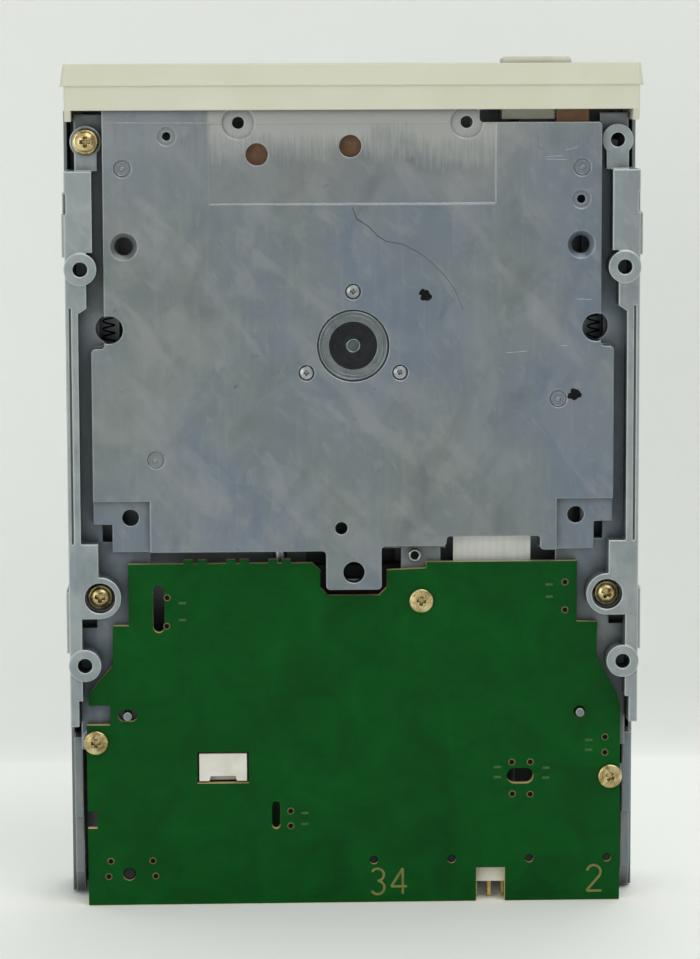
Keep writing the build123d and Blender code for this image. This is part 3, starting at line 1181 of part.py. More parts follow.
# Chip packages on the component side
CHIP_TOP = BOARD_TOP + CHIP_HIGH
with BuildPart() as board_chips:
    for x, y, wide, deep in CHIP_SHARES:
        spot = on_board(((x, y),))[0]
        block(
            around(spot[0], wide * BOARD_HALF / 2), around(spot[1], deep * BOARD_LONG / 2),
            (BOARD_TOP, CHIP_TOP),
        )
    chamfer(board_chips.edges().group_by(Axis.Z)[-1], CHIP_CHAMFER)
save(board_chips.part, "board_chips")

# Flat cable from the motor board to the main board, dipping a little between its sockets
RIBBON_MIDDLE = (RIBBON_FRONT + RIBBON_REAR) / 2
SOCKET_SPAN = around(RIBBON_X, RIBBON_WIDE / 2 + SOCKET_SIDE)
with BuildPart() as flat_cable:
    with BuildSketch(Plane.YZ.offset(RIBBON_X - RIBBON_WIDE / 2)):
        with BuildLine():
            faces = []
            for height in (RIBBON_Z, RIBBON_Z + RIBBON_THICK):
                faces.append(
                    Spline(
                        (RIBBON_FRONT, height), (RIBBON_MIDDLE, height - RIBBON_SAG), (RIBBON_REAR, height),
                        tangents=((1, 0), (1, 0)),
                    )
                )
            for end in (0, 1):
                Line(faces[0] @ end, faces[1] @ end)
        make_face()
    extrude(amount=RIBBON_WIDE)
save(flat_cable.part, "flat_cable")
with BuildPart() as cable_sockets:
    block(
        SOCKET_SPAN, (RIBBON_FRONT - SOCKET_DEEP, RIBBON_FRONT),
        (MOTOR_BOARD_TOP, MOTOR_BOARD_TOP + SOCKET_HIGH),
    )
    block(SOCKET_SPAN, (RIBBON_REAR, RIBBON_REAR + SOCKET_DEEP), (BOARD_TOP, BOARD_TOP + SOCKET_HIGH))
save(cable_sockets.part, "cable_sockets")

# Spindle bearing: flanged sleeve, turned about the spindle axis
SPINDLE = Axis((0, SPINDLE_Y, 0), (0, 0, 1))
SPINDLE_PLANE = Plane(origin=(0, SPINDLE_Y, 0), x_dir=(1, 0, 0), z_dir=(0, -1, 0))
CAP_TOP = CAP_Z + CAP_THICK
with BuildPart() as spindle_bearing:
    with BuildSketch(SPINDLE_PLANE):
        with BuildLine():
            Polyline(
                (CAP_R + PIN_FIT, BEARING_Z), (BEARING_R, BEARING_Z), (BEARING_R, PLATE_TOP),
                (BEARING_FLANGE_R, PLATE_TOP), (BEARING_FLANGE_R, FLANGE_UP), (BEARING_NECK_R, FLANGE_UP),
                (BEARING_NECK_R, BEARING_NECK_TOP), (SHAFT_R + PIN_FIT, BEARING_NECK_TOP),
                (SHAFT_R + PIN_FIT, CAP_TOP), (CAP_R + PIN_FIT, CAP_TOP), close=True,
            )
        make_face()
    revolve(axis=SPINDLE)
    rounds(BEARING_SPOTS, SMALL_SHANK_R + PIN_FIT, (BELOW, FLANGE_UP + OVERRUN), Mode.SUBTRACT)
save(spindle_bearing.part, "spindle_bearing")
with BuildPart() as bearing_cap:
    rounds((SPINDLE_SPOT,), CAP_R, (CAP_Z, CAP_TOP))
    rounds((SPINDLE_SPOT,), CAP_HOLE_R, (BELOW, CAP_TOP), Mode.SUBTRACT)
save(bearing_cap.part, "bearing_cap")

# Motor board on the floor, cut clear of the bearing, with a front tab and a tail for the flat cable
MOTOR_EDGE = RIM + MOTOR_BOARD_EDGE_GAP
MOTOR_HALF = FLOOR_FRONT_HALF - MOTOR_EDGE
MOTOR_FRONT = FLOOR_FRONT + MOTOR_EDGE
MOTOR_BAY_FRONT = BAY_BACK + MOTOR_EDGE
MOTOR_TAB_LEFT = BAY_TAB_LEFT + MOTOR_BOARD_EDGE_GAP
MOTOR_REAR = ROD_POST_FRONT - MOTOR_BOARD_POST_GAP
with BuildPart() as motor_board:
    flat(
        (
            (-MOTOR_HALF, MOTOR_FRONT), (BAY_LEFT - MOTOR_EDGE, MOTOR_FRONT),
            (BAY_LEFT - MOTOR_EDGE, MOTOR_BAY_FRONT), (MOTOR_TAB_LEFT, MOTOR_BAY_FRONT),
            (MOTOR_TAB_LEFT, MOTOR_FRONT), (MOTOR_HALF, MOTOR_FRONT), (MOTOR_HALF, MOTOR_REAR),
            (SOCKET_SPAN[1], MOTOR_REAR), (SOCKET_SPAN[1], MOTOR_BOARD_TAIL),
            (SOCKET_SPAN[0], MOTOR_BOARD_TAIL), (SOCKET_SPAN[0], MOTOR_REAR), (-MOTOR_HALF, MOTOR_REAR),
        ),
        (PLATE_TOP, MOTOR_BOARD_TOP),
    )
    rounds((SPINDLE_SPOT,), BEARING_FLANGE_R + RUN_GAP, (BELOW, MOTOR_BOARD_TOP), Mode.SUBTRACT)
    # Clear of the floor's through holes, so that posts and screws pass
    for shares, radius in (
        (SPOT_SHARES, SPOT_HOLE_R), (SMALL_HOLE_SHARES, SMALL_HOLE_R), (CONE_SHARES, CONE_HOLE_R),
        (GUIDE_SHARES, GUIDE_HOLE_R),
    ):
        rounds(on_floor(shares), radius + MOTOR_BOARD_HOLE_GAP, (BELOW, MOTOR_BOARD_TOP), Mode.SUBTRACT)
save(motor_board.part, "motor_board")

# Stator: a ring with T-shaped teeth, and a coil round each tooth
TOOTH_LONG = TOOTH_HEAD_R - BEARING_NECK_R
with BuildPart() as stator_core:
    with BuildSketch(Plane.XY.offset(STATOR_Z)):
        with Locations(SPINDLE_SPOT):
            Circle(STATOR_RING_R)
            with PolarLocations((BEARING_NECK_R + TOOTH_HEAD_R) / 2, TOOTH_COUNT):
                Rectangle(TOOTH_LONG + PIN_FIT, TOOTH_WIDE)
            with PolarLocations((TOOTH_HEAD_R + STATOR_R) / 2 - PIN_FIT, TOOTH_COUNT):
                Rectangle(TOOTH_HEAD, TOOTH_HEAD_WIDE)
            Circle(BEARING_NECK_R + PIN_FIT, mode=Mode.SUBTRACT)
    extrude(amount=STATOR_HIGH)
save(stator_core.part, "stator_core")
with BuildPart() as stator_coils:
    with Locations((0, SPINDLE_Y, STATOR_Z + STATOR_HIGH / 2)):
        with PolarLocations((COIL_IN_R + COIL_OUT_R) / 2, TOOTH_COUNT):
            Box(COIL_OUT_R - COIL_IN_R, COIL_WIDE, STATOR_HIGH + 2 * COIL_WALL)
            Box(COIL_OUT_R, TOOTH_WIDE + 2 * PIN_FIT, STATOR_HIGH + 2 * PIN_FIT, mode=Mode.SUBTRACT)
save(stator_coils.part, "stator_coils")

# Rotor cup, its ring magnet, the shaft, the chuck and the drive pin
CUP_LOW = ROTOR_TOP - ROTOR_PLATE
with BuildPart() as rotor_cup:
    with BuildSketch(SPINDLE_PLANE):
        with BuildLine():
            Polyline(
                (SHAFT_R + PIN_FIT, CUP_LOW), (ROTOR_R - ROTOR_RIM, CUP_LOW), (ROTOR_R - ROTOR_RIM, ROTOR_Z),
                (ROTOR_R, ROTOR_Z), (ROTOR_R, ROTOR_TOP), (SHAFT_R + PIN_FIT, ROTOR_TOP), close=True,
            )
        make_face()
    revolve(axis=SPINDLE)
    cup_rings = rotor_cup.edges().filter_by(GeomType.CIRCLE).group_by(Axis.Z)[-1]
    fillet(cup_rings.sort_by(SortBy.RADIUS)[-1], ROTOR_RIM / 2)
save(rotor_cup.part, "rotor_cup")
with BuildPart() as rotor_magnet:
    rounds((SPINDLE_SPOT,), MAGNET_R, (ROTOR_Z, CUP_LOW))
    rounds((SPINDLE_SPOT,), MAGNET_R - MAGNET_THICK, (BELOW, ROTOR_TOP), Mode.SUBTRACT)
save(rotor_magnet.part, "rotor_magnet")
with BuildPart() as spindle_shaft:
    with BuildSketch(SPINDLE_PLANE):
        with BuildLine():
            Polyline(
                (0, SHAFT_TIP_Z), (SHAFT_TIP_R, SHAFT_TIP_Z), (SHAFT_TIP_R, SHAFT_STEP_Z),
                (SHAFT_R, SHAFT_STEP_Z), (SHAFT_R, ROTOR_TOP), (NOSE_R, ROTOR_TOP),
                (NOSE_R, NOSE_TOP - NOSE_CHAMFER), (NOSE_R - NOSE_CHAMFER, NOSE_TOP), (0, NOSE_TOP),
                close=True,
            )
        make_face()
    revolve(axis=SPINDLE)
save(spindle_shaft.part, "spindle_shaft")
with BuildPart() as chuck_hub:
    rounds((SPINDLE_SPOT,), CHUCK_R, (ROTOR_TOP, CHUCK_TOP))
    rounds((SPINDLE_SPOT,), NOSE_R + PIN_FIT, (ROTOR_TOP, CHUCK_TOP), Mode.SUBTRACT)
    chuck_rings = chuck_hub.edges().filter_by(GeomType.CIRCLE).group_by(Axis.Z)[-1]
    chamfer(chuck_rings.sort_by(SortBy.RADIUS)[-1], CHUCK_THICK / 2)
save(chuck_hub.part, "chuck_hub")
with BuildPart() as drive_pin:
    rounds(((DRIVE_PIN_OUT, SPINDLE_Y),), DRIVE_PIN_R, (CHUCK_TOP, CHUCK_TOP + DRIVE_PIN_HIGH))
    fillet(drive_pin.edges().group_by(Axis.Z)[-1], DRIVE_PIN_R / 2)
save(drive_pin.part, "drive_pin")

# Eject slide: a front bar and two strips with upright walls, whose slanted slots carry the tray's studs
CAM_RUN = hypot(SLIDE_TRAVEL, TRAY_LIFT)
CAM_SLANT = -degrees(atan2(TRAY_LIFT, SLIDE_TRAVEL))
SLIDE_YS = (SLIDE_FRONT, SLIDE_BACK)
SLIDE_ZS = (SLIDE_Z, SLIDE_TOP)
with BuildPart() as eject_slide:
    block((-SLIDE_OUT, SLIDE_OUT), (SLIDE_FRONT, SLIDE_FRONT + SLIDE_BAR_DEEP), SLIDE_ZS)
    for side in (-1, 1):
        block(sided(side, SLIDE_OUT - SLIDE_STRIP, SLIDE_OUT), SLIDE_YS, SLIDE_ZS)
        block(sided(side, SLIDE_IN, SLIDE_OUT), SLIDE_YS, (SLIDE_Z, SLIDE_WALL_TOP))
        block(
            sided(side, SPRING_X - SPRING_R, SLIDE_OUT), (SLIDE_HOOK_Y, SLIDE_HOOK_Y + SLIDE_HOOK_DEEP),
            SLIDE_ZS,
        )
        block(
            sided(side, SPRING_X - SPRING_R, SPRING_X + SPRING_R), (SLIDE_HOOK_Y, SLIDE_HOOK_Y + SLIDE_SHEET),
            (SLIDE_Z, SPRING_POST_TOP),
        )
    block(around(BUTTON_X, SLIDE_TAB_HALF), (SLIDE_TAB_FRONT, SLIDE_FRONT), SLIDE_ZS)
    with BuildSketch(Plane.YZ):
        with Locations(*[(y + SLIDE_TRAVEL / 2, STUD_Z - TRAY_LIFT / 2) for y in STUD_YS]):
            SlotCenterToCenter(CAM_RUN, 2 * (STUD_R + STUD_GAP), rotation=CAM_SLANT)
    extrude(amount=SLIDE_OUT + OVERRUN, both=True, mode=Mode.SUBTRACT)
save(eject_slide.part, "eject_slide")

# Eject button: a head in the bezel's opening and a narrower stem that holds the slide's tab
BUTTON_BACK = BUTTON_TIP + BUTTON_HEAD_DEEP
with BuildPart() as eject_button:
    block(around(BUTTON_X, BUTTON_HALF), (BUTTON_TIP, BUTTON_BACK), BUTTON_ZS)
    fillet(eject_button.faces().sort_by(Axis.Y)[0].edges(), BUTTON_CORNER)
    block(
        (BUTTON_X - BUTTON_HALF, BUTTON_X + STEM_RIGHT_OUT), (BUTTON_BACK, STEM_BACK),
        (BUTTON_ZS[0] + STEM_INSET, BUTTON_ZS[1] - STEM_INSET),
    )
    block(
        around(BUTTON_X, SLIDE_TAB_HALF + TAB_PLAY), (SLIDE_TAB_FRONT - TAB_PLAY, STEM_BACK + OVERRUN),
        (SLIDE_Z - TAB_PLAY, SLIDE_TOP + TAB_PLAY), Mode.SUBTRACT,
    )
save(eject_button.part, "eject_button")

# Tension springs that pull the slide's hooks forward to the chassis posts, as thin tubes
SPRING_SPOTS = ((-SPRING_X, SPRING_Z), (SPRING_X, SPRING_Z))
SPRING_YS = (SLIDE_HOOK_Y - SPRING_LONG, SLIDE_HOOK_Y)
with BuildPart() as slide_springs:
    lengthwise(SPRING_SPOTS, SPRING_R, SPRING_YS)
    lengthwise(SPRING_SPOTS, SPRING_R - SPRING_WALL, SPRING_YS, Mode.SUBTRACT)
save(slide_springs.part, "slide_springs")

# Disk tray: a folded sheet with lips under the disk, openings above the hub and the heads
with BuildPart() as disk_tray:
    with BuildSketch(Plane.XZ.offset(-TRAY_BACK)):
        with Locations((0, (LIP_LOW + TRAY_TOP) / 2)):
            Rectangle(2 * TRAY_OUT, TRAY_TOP - LIP_LOW)
        with Locations((0, (LIP_TOP + TRAY_CEILING) / 2)):
            Rectangle(2 * TRAY_IN, TRAY_ROOM, mode=Mode.SUBTRACT)
        with Locations((0, LIP_LOW)):
            Rectangle(2 * (TRAY_IN - TRAY_LIP), 2 * TRAY_SHEET, mode=Mode.SUBTRACT)
    extrude(amount=TRAY_BACK - TRAY_FRONT)
    block(
        (-TRAY_HEAD_HALF, TRAY_HEAD_HALF), (TRAY_HEAD_FRONT, TRAY_BACK + OVERRUN),
        (TRAY_CEILING - OVERRUN, TRAY_TOP + OVERRUN), Mode.SUBTRACT,
    )
    with BuildSketch(Plane.XY.offset(TRAY_CEILING)):
        with Locations((0, (TRAY_WINDOW_FRONT + TRAY_WINDOW_BACK) / 2)):
            RectangleRounded(
                2 * TRAY_WINDOW_HALF, TRAY_WINDOW_BACK - TRAY_WINDOW_FRONT, TRAY_WINDOW_CORNER,
            )
        SlotArc(
            CenterArc(LEVER_PIVOT, LEVER_REACH, LEVER_REST_DEG, LEVER_SWING_DEG), 2 * (FINGER_R + RUN_GAP)
        )
    extrude(amount=TRAY_SHEET, mode=Mode.SUBTRACT)
save(disk_tray.part, "disk_tray")
with BuildPart() as tray_studs:
    for side in (-1, 1):
        crosswise([(y, STUD_Z) for y in STUD_YS], STUD_R, sided(side, TRAY_OUT, WALL_OUT - RUN_GAP))
save(tray_studs.part, "tray_studs")

# Shutter lever on its pivot: hub, tapering arm and the finger that reaches down into the disk's path
with BuildPart() as lever_pivot:
    rounds((LEVER_PIVOT,), LEVER_PIVOT_R, (TRAY_TOP, TRAY_TOP + LEVER_PIVOT_HIGH))
save(lever_pivot.part, "lever_pivot")
with BuildPart() as shutter_lever:
    with BuildSketch(Plane.XY.offset(LEVER_Z)):
        with Locations(LEVER_PIVOT):
            Circle(LEVER_HUB_R)
        with Locations(LEVER_TIP):
            Circle(LEVER_HALF)
        make_hull()
        with Locations(LEVER_PIVOT):
            Circle(LEVER_PIVOT_R + PIN_FIT, mode=Mode.SUBTRACT)
    extrude(amount=LEVER_THICK)
    rounds((LEVER_TIP,), FINGER_R, (LIP_TOP + FINGER_LOW_GAP, LEVER_TOP))
save(shutter_lever.part, "shutter_lever")
with BuildPart() as lever_spring:
    rounds((LEVER_PIVOT,), LEVER_SPRING_R, (LEVER_TOP, LEVER_TOP + LEVER_SPRING_HIGH))
    rounds((LEVER_PIVOT,), LEVER_SPRING_R - LEVER_SPRING_WALL, (BELOW, HEIGHT), Mode.SUBTRACT)
save(lever_spring.part, "lever_spring")

# Dust door, hung on two pins in the ends of the disk slot
with BuildPart() as dust_door:
    block(
        (-DOOR_HALF, DOOR_HALF), (DOOR_FRONT, DOOR_FRONT + DOOR_THICK),
        (SLOT_LOW + DOOR_GAP, SLOT_TOP - DOOR_GAP),
    )
    for side in (-1, 1):
        crosswise(
            ((DOOR_PIN_Y, DOOR_PIN_Z),), DOOR_PIN_R,
            sided(side, DOOR_HALF, SLOT_HALF + DOOR_PIN_LONG - SEAT_GAP),
        )
save(dust_door.part, "dust_door")

# Guide rods and the clamps over their ends
with BuildPart() as guide_rods:
    lengthwise(ROD_SPOTS, ROD_R, (ROD_POST_FRONT, BEAM_BACK))
save(guide_rods.part, "guide_rods")
with BuildPart() as rod_clamps:
    for x, height in ROD_SPOTS:
        for y in ((ROD_POST_FRONT, ROD_POST_BACK), (BEAM_FRONT, BEAM_BACK)):
            block(around(x, CLAMP_HALF), y, (height + ROD_R, height + ROD_R + CLAMP_THICK))
save(rod_clamps.part, "rod_clamps")

# Head carriage: a waisted block on the rods, a nose for the lower head and cheeks for the arm's pin
SHOE_BACK = CARRIAGE_FRONT + CARRIAGE_SHOE
SHOE_FRONT = CARRIAGE_BACK - CARRIAGE_SHOE
NOSE_HEIGHT = CARRIAGE_TOP + NOSE_THICK
CHEEK_FRONT = PIVOT_Y - CHEEK_ROUND
CHEEK_TOP = PIVOT_Z + CHEEK_ROUND
PIVOT_SPOT = (PIVOT_Y, PIVOT_Z)
with BuildPart() as head_carriage:
    flat(
        (
            (-CARRIAGE_HALF, CARRIAGE_FRONT), (CARRIAGE_HALF, CARRIAGE_FRONT), (CARRIAGE_HALF, SHOE_BACK),
            (CARRIAGE_WAIST_HALF, SHOE_BACK + CARRIAGE_FLARE),
            (CARRIAGE_WAIST_HALF, SHOE_FRONT - CARRIAGE_FLARE),
            (CARRIAGE_HALF, SHOE_FRONT), (CARRIAGE_HALF, CARRIAGE_BACK), (-CARRIAGE_HALF, CARRIAGE_BACK),
            (-CARRIAGE_HALF, SHOE_FRONT), (-CARRIAGE_WAIST_HALF, SHOE_FRONT - CARRIAGE_FLARE),
            (-CARRIAGE_WAIST_HALF, SHOE_BACK + CARRIAGE_FLARE), (-CARRIAGE_HALF, SHOE_BACK),
        ),
        (CARRIAGE_Z, CARRIAGE_TOP),
    )
    block(
        (-CARRIAGE_WINDOW_HALF, CARRIAGE_WINDOW_HALF), (CARRIAGE_WINDOW_FRONT, CARRIAGE_WINDOW_BACK),
        (BELOW, HEIGHT), Mode.SUBTRACT,
    )
    lengthwise(ROD_SPOTS, ROD_R + PIN_FIT, (CARRIAGE_FRONT - OVERRUN, CARRIAGE_BACK + OVERRUN), Mode.SUBTRACT)
    block((-NOSE_HALF, NOSE_HALF), (HEAD_Y - NOSE_AHEAD, CARRIAGE_WINDOW_FRONT), (CARRIAGE_TOP, NOSE_HEIGHT))
    for side in (-1, 1):
        upright(
            (
                (CHEEK_FRONT - CHEEK_SLOPE, CARRIAGE_TOP), (CARRIAGE_BACK, CARRIAGE_TOP),
                (CARRIAGE_BACK, CHEEK_TOP), (CHEEK_FRONT, CHEEK_TOP),
            ),
            sided(side, CHEEK_IN, CHEEK_OUT),
        )
    crosswise((PIVOT_SPOT,), PIVOT_PIN_R + PIN_FIT, around(0, CHEEK_OUT + OVERRUN), Mode.SUBTRACT)
save(head_carriage.part, "head_carriage")
with BuildPart() as lower_head:
    block((-HEAD_HALF, HEAD_HALF), HEAD_YS, (NOSE_HEIGHT, HEAD_MEET))
save(lower_head.part, "lower_head")
with BuildPart() as arm_pin:
    crosswise((PIVOT_SPOT,), PIVOT_PIN_R, around(0, CHEEK_OUT + PIVOT_PIN_END))
save(arm_pin.part, "arm_pin")
with BuildPart() as screw_follower:
    block((FOLLOWER_LEFT, FOLLOWER_RIGHT), FOLLOWER_YS, (CARRIAGE_TOP, FOLLOWER_TOP))
    block(
        (FOLLOWER_LEFT, FOLLOWER_STEP_X), FOLLOWER_YS, (CARRIAGE_TOP + FOLLOWER_FOOT, FOLLOWER_TOP),
        Mode.SUBTRACT,
    )
    lengthwise(((LEAD_X, LEAD_Z),), LEAD_R + RUN_GAP, FOLLOWER_YS, Mode.SUBTRACT)
save(screw_follower.part, "screw_follower")

# Upper arm, its head and its leaf spring, shaped level and then lifted about the pin
PIVOT = Axis((0, PIVOT_Y, PIVOT_Z), (1, 0, 0))
ARM_TOP = ARM_Z + ARM_THICK
UPPER_HEAD_Z = HEAD_MEET + HEAD_GAP
with BuildPart() as upper_arm:
    flat(
        (
            (-ARM_FRONT_HALF, ARM_FRONT), (ARM_FRONT_HALF, ARM_FRONT), (ARM_REAR_HALF, ARM_FLARE_Y),
            (ARM_REAR_HALF, PIVOT_Y), (-ARM_REAR_HALF, PIVOT_Y), (-ARM_REAR_HALF, ARM_FLARE_Y),
        ),
        (ARM_Z, ARM_TOP),
    )
    crosswise((PIVOT_SPOT,), ARM_BARREL_R, (-ARM_REAR_HALF, ARM_REAR_HALF))
    block(
        (-ARM_STEM_HALF, ARM_STEM_HALF), around(HEAD_Y, ARM_STEM_HALF), (UPPER_HEAD_Z + HEAD_THICK, ARM_Z),
    )
    crosswise((PIVOT_SPOT,), PIVOT_PIN_R + PIN_FIT, around(0, ARM_REAR_HALF + OVERRUN), Mode.SUBTRACT)
save(upper_arm.part.rotate(PIVOT, -ARM_LIFT_DEG), "upper_arm")
with BuildPart() as upper_head:
    block((-HEAD_HALF, HEAD_HALF), HEAD_YS, (UPPER_HEAD_Z, UPPER_HEAD_Z + HEAD_THICK))
save(upper_head.part.rotate(PIVOT, -ARM_LIFT_DEG), "upper_head")
with BuildPart() as arm_spring:
    block((-LEAF_HALF, LEAF_HALF), (ARM_FLARE_Y, ARM_FLARE_Y + LEAF_LONG), (ARM_TOP, ARM_TOP + LEAF_THICK))
save(arm_spring.part.rotate(PIVOT, -ARM_LIFT_DEG), "arm_spring")

# Stepper motor: can, folded bracket with its screws, and the lead screw
LEAD_SPOT = (LEAD_X, LEAD_Z)
BRACKET_YS = (BEAM_BACK, CAN_FRONT)
with BuildPart() as stepper_can:
    lengthwise((LEAD_SPOT,), CAN_R, (CAN_FRONT, CAN_BACK))
    fillet(stepper_can.edges().filter_by(GeomType.CIRCLE), CAN_EDGE)
    lengthwise(
        (LEAD_SPOT,), LEAD_JOURNAL_R + PIN_FIT, (CAN_FRONT, CAN_FRONT + CAN_SOCKET_DEEP), Mode.SUBTRACT
    )
save(stepper_can.part, "stepper_can")
with BuildPart() as stepper_bracket:
    block(
        (BRACKET_LEFT, BRACKET_RIGHT), BRACKET_YS, (FLANGE_Z + BRACKET_FOOT, LEAD_Z + CAN_R + BRACKET_CROWN),
    )
    block(
        (BRACKET_RIGHT - BRACKET_SHEET, BRACKET_RIGHT), (NOSE_PLATE[0], CAN_FRONT),
        (BRACKET_WEB_Z, BRACKET_WEB_TOP),
    )
    block((LEAD_X - BRACKET_NOSE_OUT, BRACKET_RIGHT), NOSE_PLATE, (BRACKET_WEB_Z, BRACKET_WEB_TOP))
    lengthwise((LEAD_SPOT,), BRACKET_HOLE_R, BRACKET_YS, Mode.SUBTRACT)
    lengthwise((LEAD_SPOT,), LEAD_JOURNAL_R + PIN_FIT, NOSE_PLATE, Mode.SUBTRACT)
    lengthwise(STEPPER_SPOTS, SMALL_SHANK_R + PIN_FIT, BRACKET_YS, Mode.SUBTRACT)
save(stepper_bracket.part, "stepper_bracket")
with BuildPart() as stepper_screws:
    lengthwise(STEPPER_SPOTS, SMALL_HEAD_R, (CAN_FRONT, CAN_FRONT + SMALL_HEAD_HIGH))
    lengthwise(STEPPER_SPOTS, SMALL_SHANK_R, (BEAM_FRONT + OVERRUN, CAN_FRONT))
save(stepper_screws.part, "stepper_screws")
with BuildPart() as lead_screw:
    lengthwise((LEAD_SPOT,), LEAD_R, (LEAD_FRONT, CAN_FRONT - SEAT_GAP))
    lengthwise((LEAD_SPOT,), LEAD_JOURNAL_R, (NOSE_PLATE[0], CAN_FRONT + LEAD_JOURNAL_R))
save(lead_screw.part, "lead_screw")

# Switches on the motor board with their plungers, and the track-zero sensor on the main board
PLUNGER_NAMES = ("write_protect_plunger", "density_plunger", "disk_in_plunger")
ZERO_TOP = BOARD_TOP + ZERO_HIGH
with BuildPart() as switch_bodies:
    for x, y in SWITCH_SPOTS:
        block(around(x, SWITCH_HALF), around(y, SWITCH_HALF), (MOTOR_BOARD_TOP, SWITCH_TOP))
    rounds(SWITCH_SPOTS, PLUNGER_R + PIN_FIT, (MOTOR_BOARD_TOP + SWITCH_FLOOR, SWITCH_TOP), Mode.SUBTRACT)
save(switch_bodies.part, "switch_bodies")
for spot, name in zip(SWITCH_SPOTS, PLUNGER_NAMES):
    with BuildPart() as plunger:
        rounds((spot,), PLUNGER_R, (PLUNGER_LOW, PLUNGER_TOP))
        fillet(plunger.edges().group_by(Axis.Z)[-1], PLUNGER_DOME)
    save(plunger.part, name)
with BuildPart() as track_zero_sensor:
    block(around(ZERO_X, ZERO_HALF_X), around(ZERO_Y, ZERO_HALF_Y), (BOARD_TOP, ZERO_TOP))
    block(
        around(ZERO_X, ZERO_HALF_X), around(ZERO_Y, ZERO_GAP_HALF), (BOARD_TOP + ZERO_FOOT, ZERO_TOP),
        Mode.SUBTRACT,
    )
save(track_zero_sensor.part, "track_zero_sensor")
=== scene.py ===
"""Looks of a 3.5-inch floppy disk drive: finishes, fasteners, springs, board marks and a pale studio."""

import logging
import math
from dataclasses import dataclass
from enum import Enum, IntEnum
from functools import cache
from typing import Any, Sequence

import bmesh
import bpy
from mathutils import Matrix, Vector


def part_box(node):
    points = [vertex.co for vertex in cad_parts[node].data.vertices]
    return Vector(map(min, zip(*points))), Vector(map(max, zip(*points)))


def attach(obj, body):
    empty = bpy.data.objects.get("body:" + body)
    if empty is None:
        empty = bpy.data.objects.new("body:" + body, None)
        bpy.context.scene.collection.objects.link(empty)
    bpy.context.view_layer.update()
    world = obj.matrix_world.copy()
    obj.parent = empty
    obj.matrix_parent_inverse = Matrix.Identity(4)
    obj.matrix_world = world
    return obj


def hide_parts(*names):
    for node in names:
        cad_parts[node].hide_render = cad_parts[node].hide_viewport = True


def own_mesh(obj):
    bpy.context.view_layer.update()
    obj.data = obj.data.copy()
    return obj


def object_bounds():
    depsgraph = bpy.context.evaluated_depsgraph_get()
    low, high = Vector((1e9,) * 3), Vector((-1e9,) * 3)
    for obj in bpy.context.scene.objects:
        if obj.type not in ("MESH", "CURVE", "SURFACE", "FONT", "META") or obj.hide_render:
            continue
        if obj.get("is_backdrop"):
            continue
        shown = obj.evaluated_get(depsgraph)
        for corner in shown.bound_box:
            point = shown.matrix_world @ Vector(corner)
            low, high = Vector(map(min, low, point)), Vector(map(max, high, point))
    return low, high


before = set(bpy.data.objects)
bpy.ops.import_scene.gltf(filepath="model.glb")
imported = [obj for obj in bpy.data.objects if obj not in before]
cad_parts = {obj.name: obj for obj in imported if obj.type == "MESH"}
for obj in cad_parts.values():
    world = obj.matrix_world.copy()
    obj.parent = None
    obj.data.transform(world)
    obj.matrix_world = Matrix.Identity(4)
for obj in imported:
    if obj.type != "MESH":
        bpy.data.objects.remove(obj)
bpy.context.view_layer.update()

LOG = logging.getLogger("floppy_drive")
MM = 0.001
PHOTO_WIDTH = 700
# Distance in millimetres below which two corners are one
WELD = 0.001
# Phase of the wave texture over one unit of its scale, in radians
WAVE_PHASE = 20
Spot = tuple[float, float]
Triple = tuple[float, float, float]
Colour = tuple[float, float, float, float]

# Settings of a mottle's noise, and the noise values at its ends for tone and for gloss
MOTTLE_NOISE = {"Detail": 6.0, "Roughness": 0.62, "Distortion": 0.7}
TONE_WINDOW = (0.34, 0.66)
MIDDLE_TONE = 0.5
GLOSS_WINDOW = (0.3, 0.7)
# Open share of a corner with full painted shade and with none
CORNER_WINDOW = (0.35, 0.85)
# Agreement of the rounded and the flat normal with no pale edge and with a full one, partly wear and partly
# painted highlight
EDGE_WINDOW = (0.995, 0.85)
SHADER_SAMPLES = 6
# Angles in degrees above which an edge stays sharp
PLAIN_EDGE = 35.0
TURNED_EDGE = 50.0
THREAD_EDGE = 60.0
WIRE_EDGE = 80.0
# Turn of the copies in radians, times the square of a copy's number, so that no two screws stand alike
COPY_TURN = 1.7
# Points in one turn of a coil, and corners of its wire
COIL_STEPS = 18
WIRE_STEPS = 8
# Turn that lays a piece from Z along Y
ALONG_Y = (-math.pi / 2, 0.0, 0.0)


def linear(code: str) -> Colour:
    """Turn an sRGB hex colour into linear RGBA.

    Args:
        code: Colour as "#RRGGBB".

    Returns:
        Linear red, green and blue with full alpha.
    """
    shares = [int(code[i:i + 2], 16) / 255 for i in (1, 3, 5)]
    red, green, blue = (s / 12.92 if s <= 0.04045 else ((s + 0.055) / 1.055) ** 2.4 for s in shares)
    return (red, green, blue, 1.0)


def per_mm(size: float) -> float:
    """Give the texture scale, per metre, of a pattern of this size in millimetres."""
    return 1.0 / (size * MM)


def bands_per_mm(pitch: float) -> float:
    """Give the wave texture's scale for bands of this pitch in millimetres."""
    return math.tau / WAVE_PHASE / (pitch * MM)


def add_node(
    tree: bpy.types.NodeTree, kind: str, inputs: dict[str | int, Any] | None = None, **settings: Any
) -> bpy.types.Node:
    """Add a node with its settings, and set or link its inputs.

    Args:
        tree: Node tree that gets the node.
        kind: Blender's identifier of the node.
        inputs: Socket name or index, with a value or the output socket to link from.
        **settings: Properties of the node itself.

    Returns:
        The new node.
    """
    node = tree.nodes.new(kind)
    for name, value in settings.items():
        setattr(node, name, value)
    for key, value in (inputs or {}).items():
        if isinstance(value, bpy.types.NodeSocket):
            tree.links.new(value, node.inputs[key])
        else:
            node.inputs[key].default_value = value
    return node


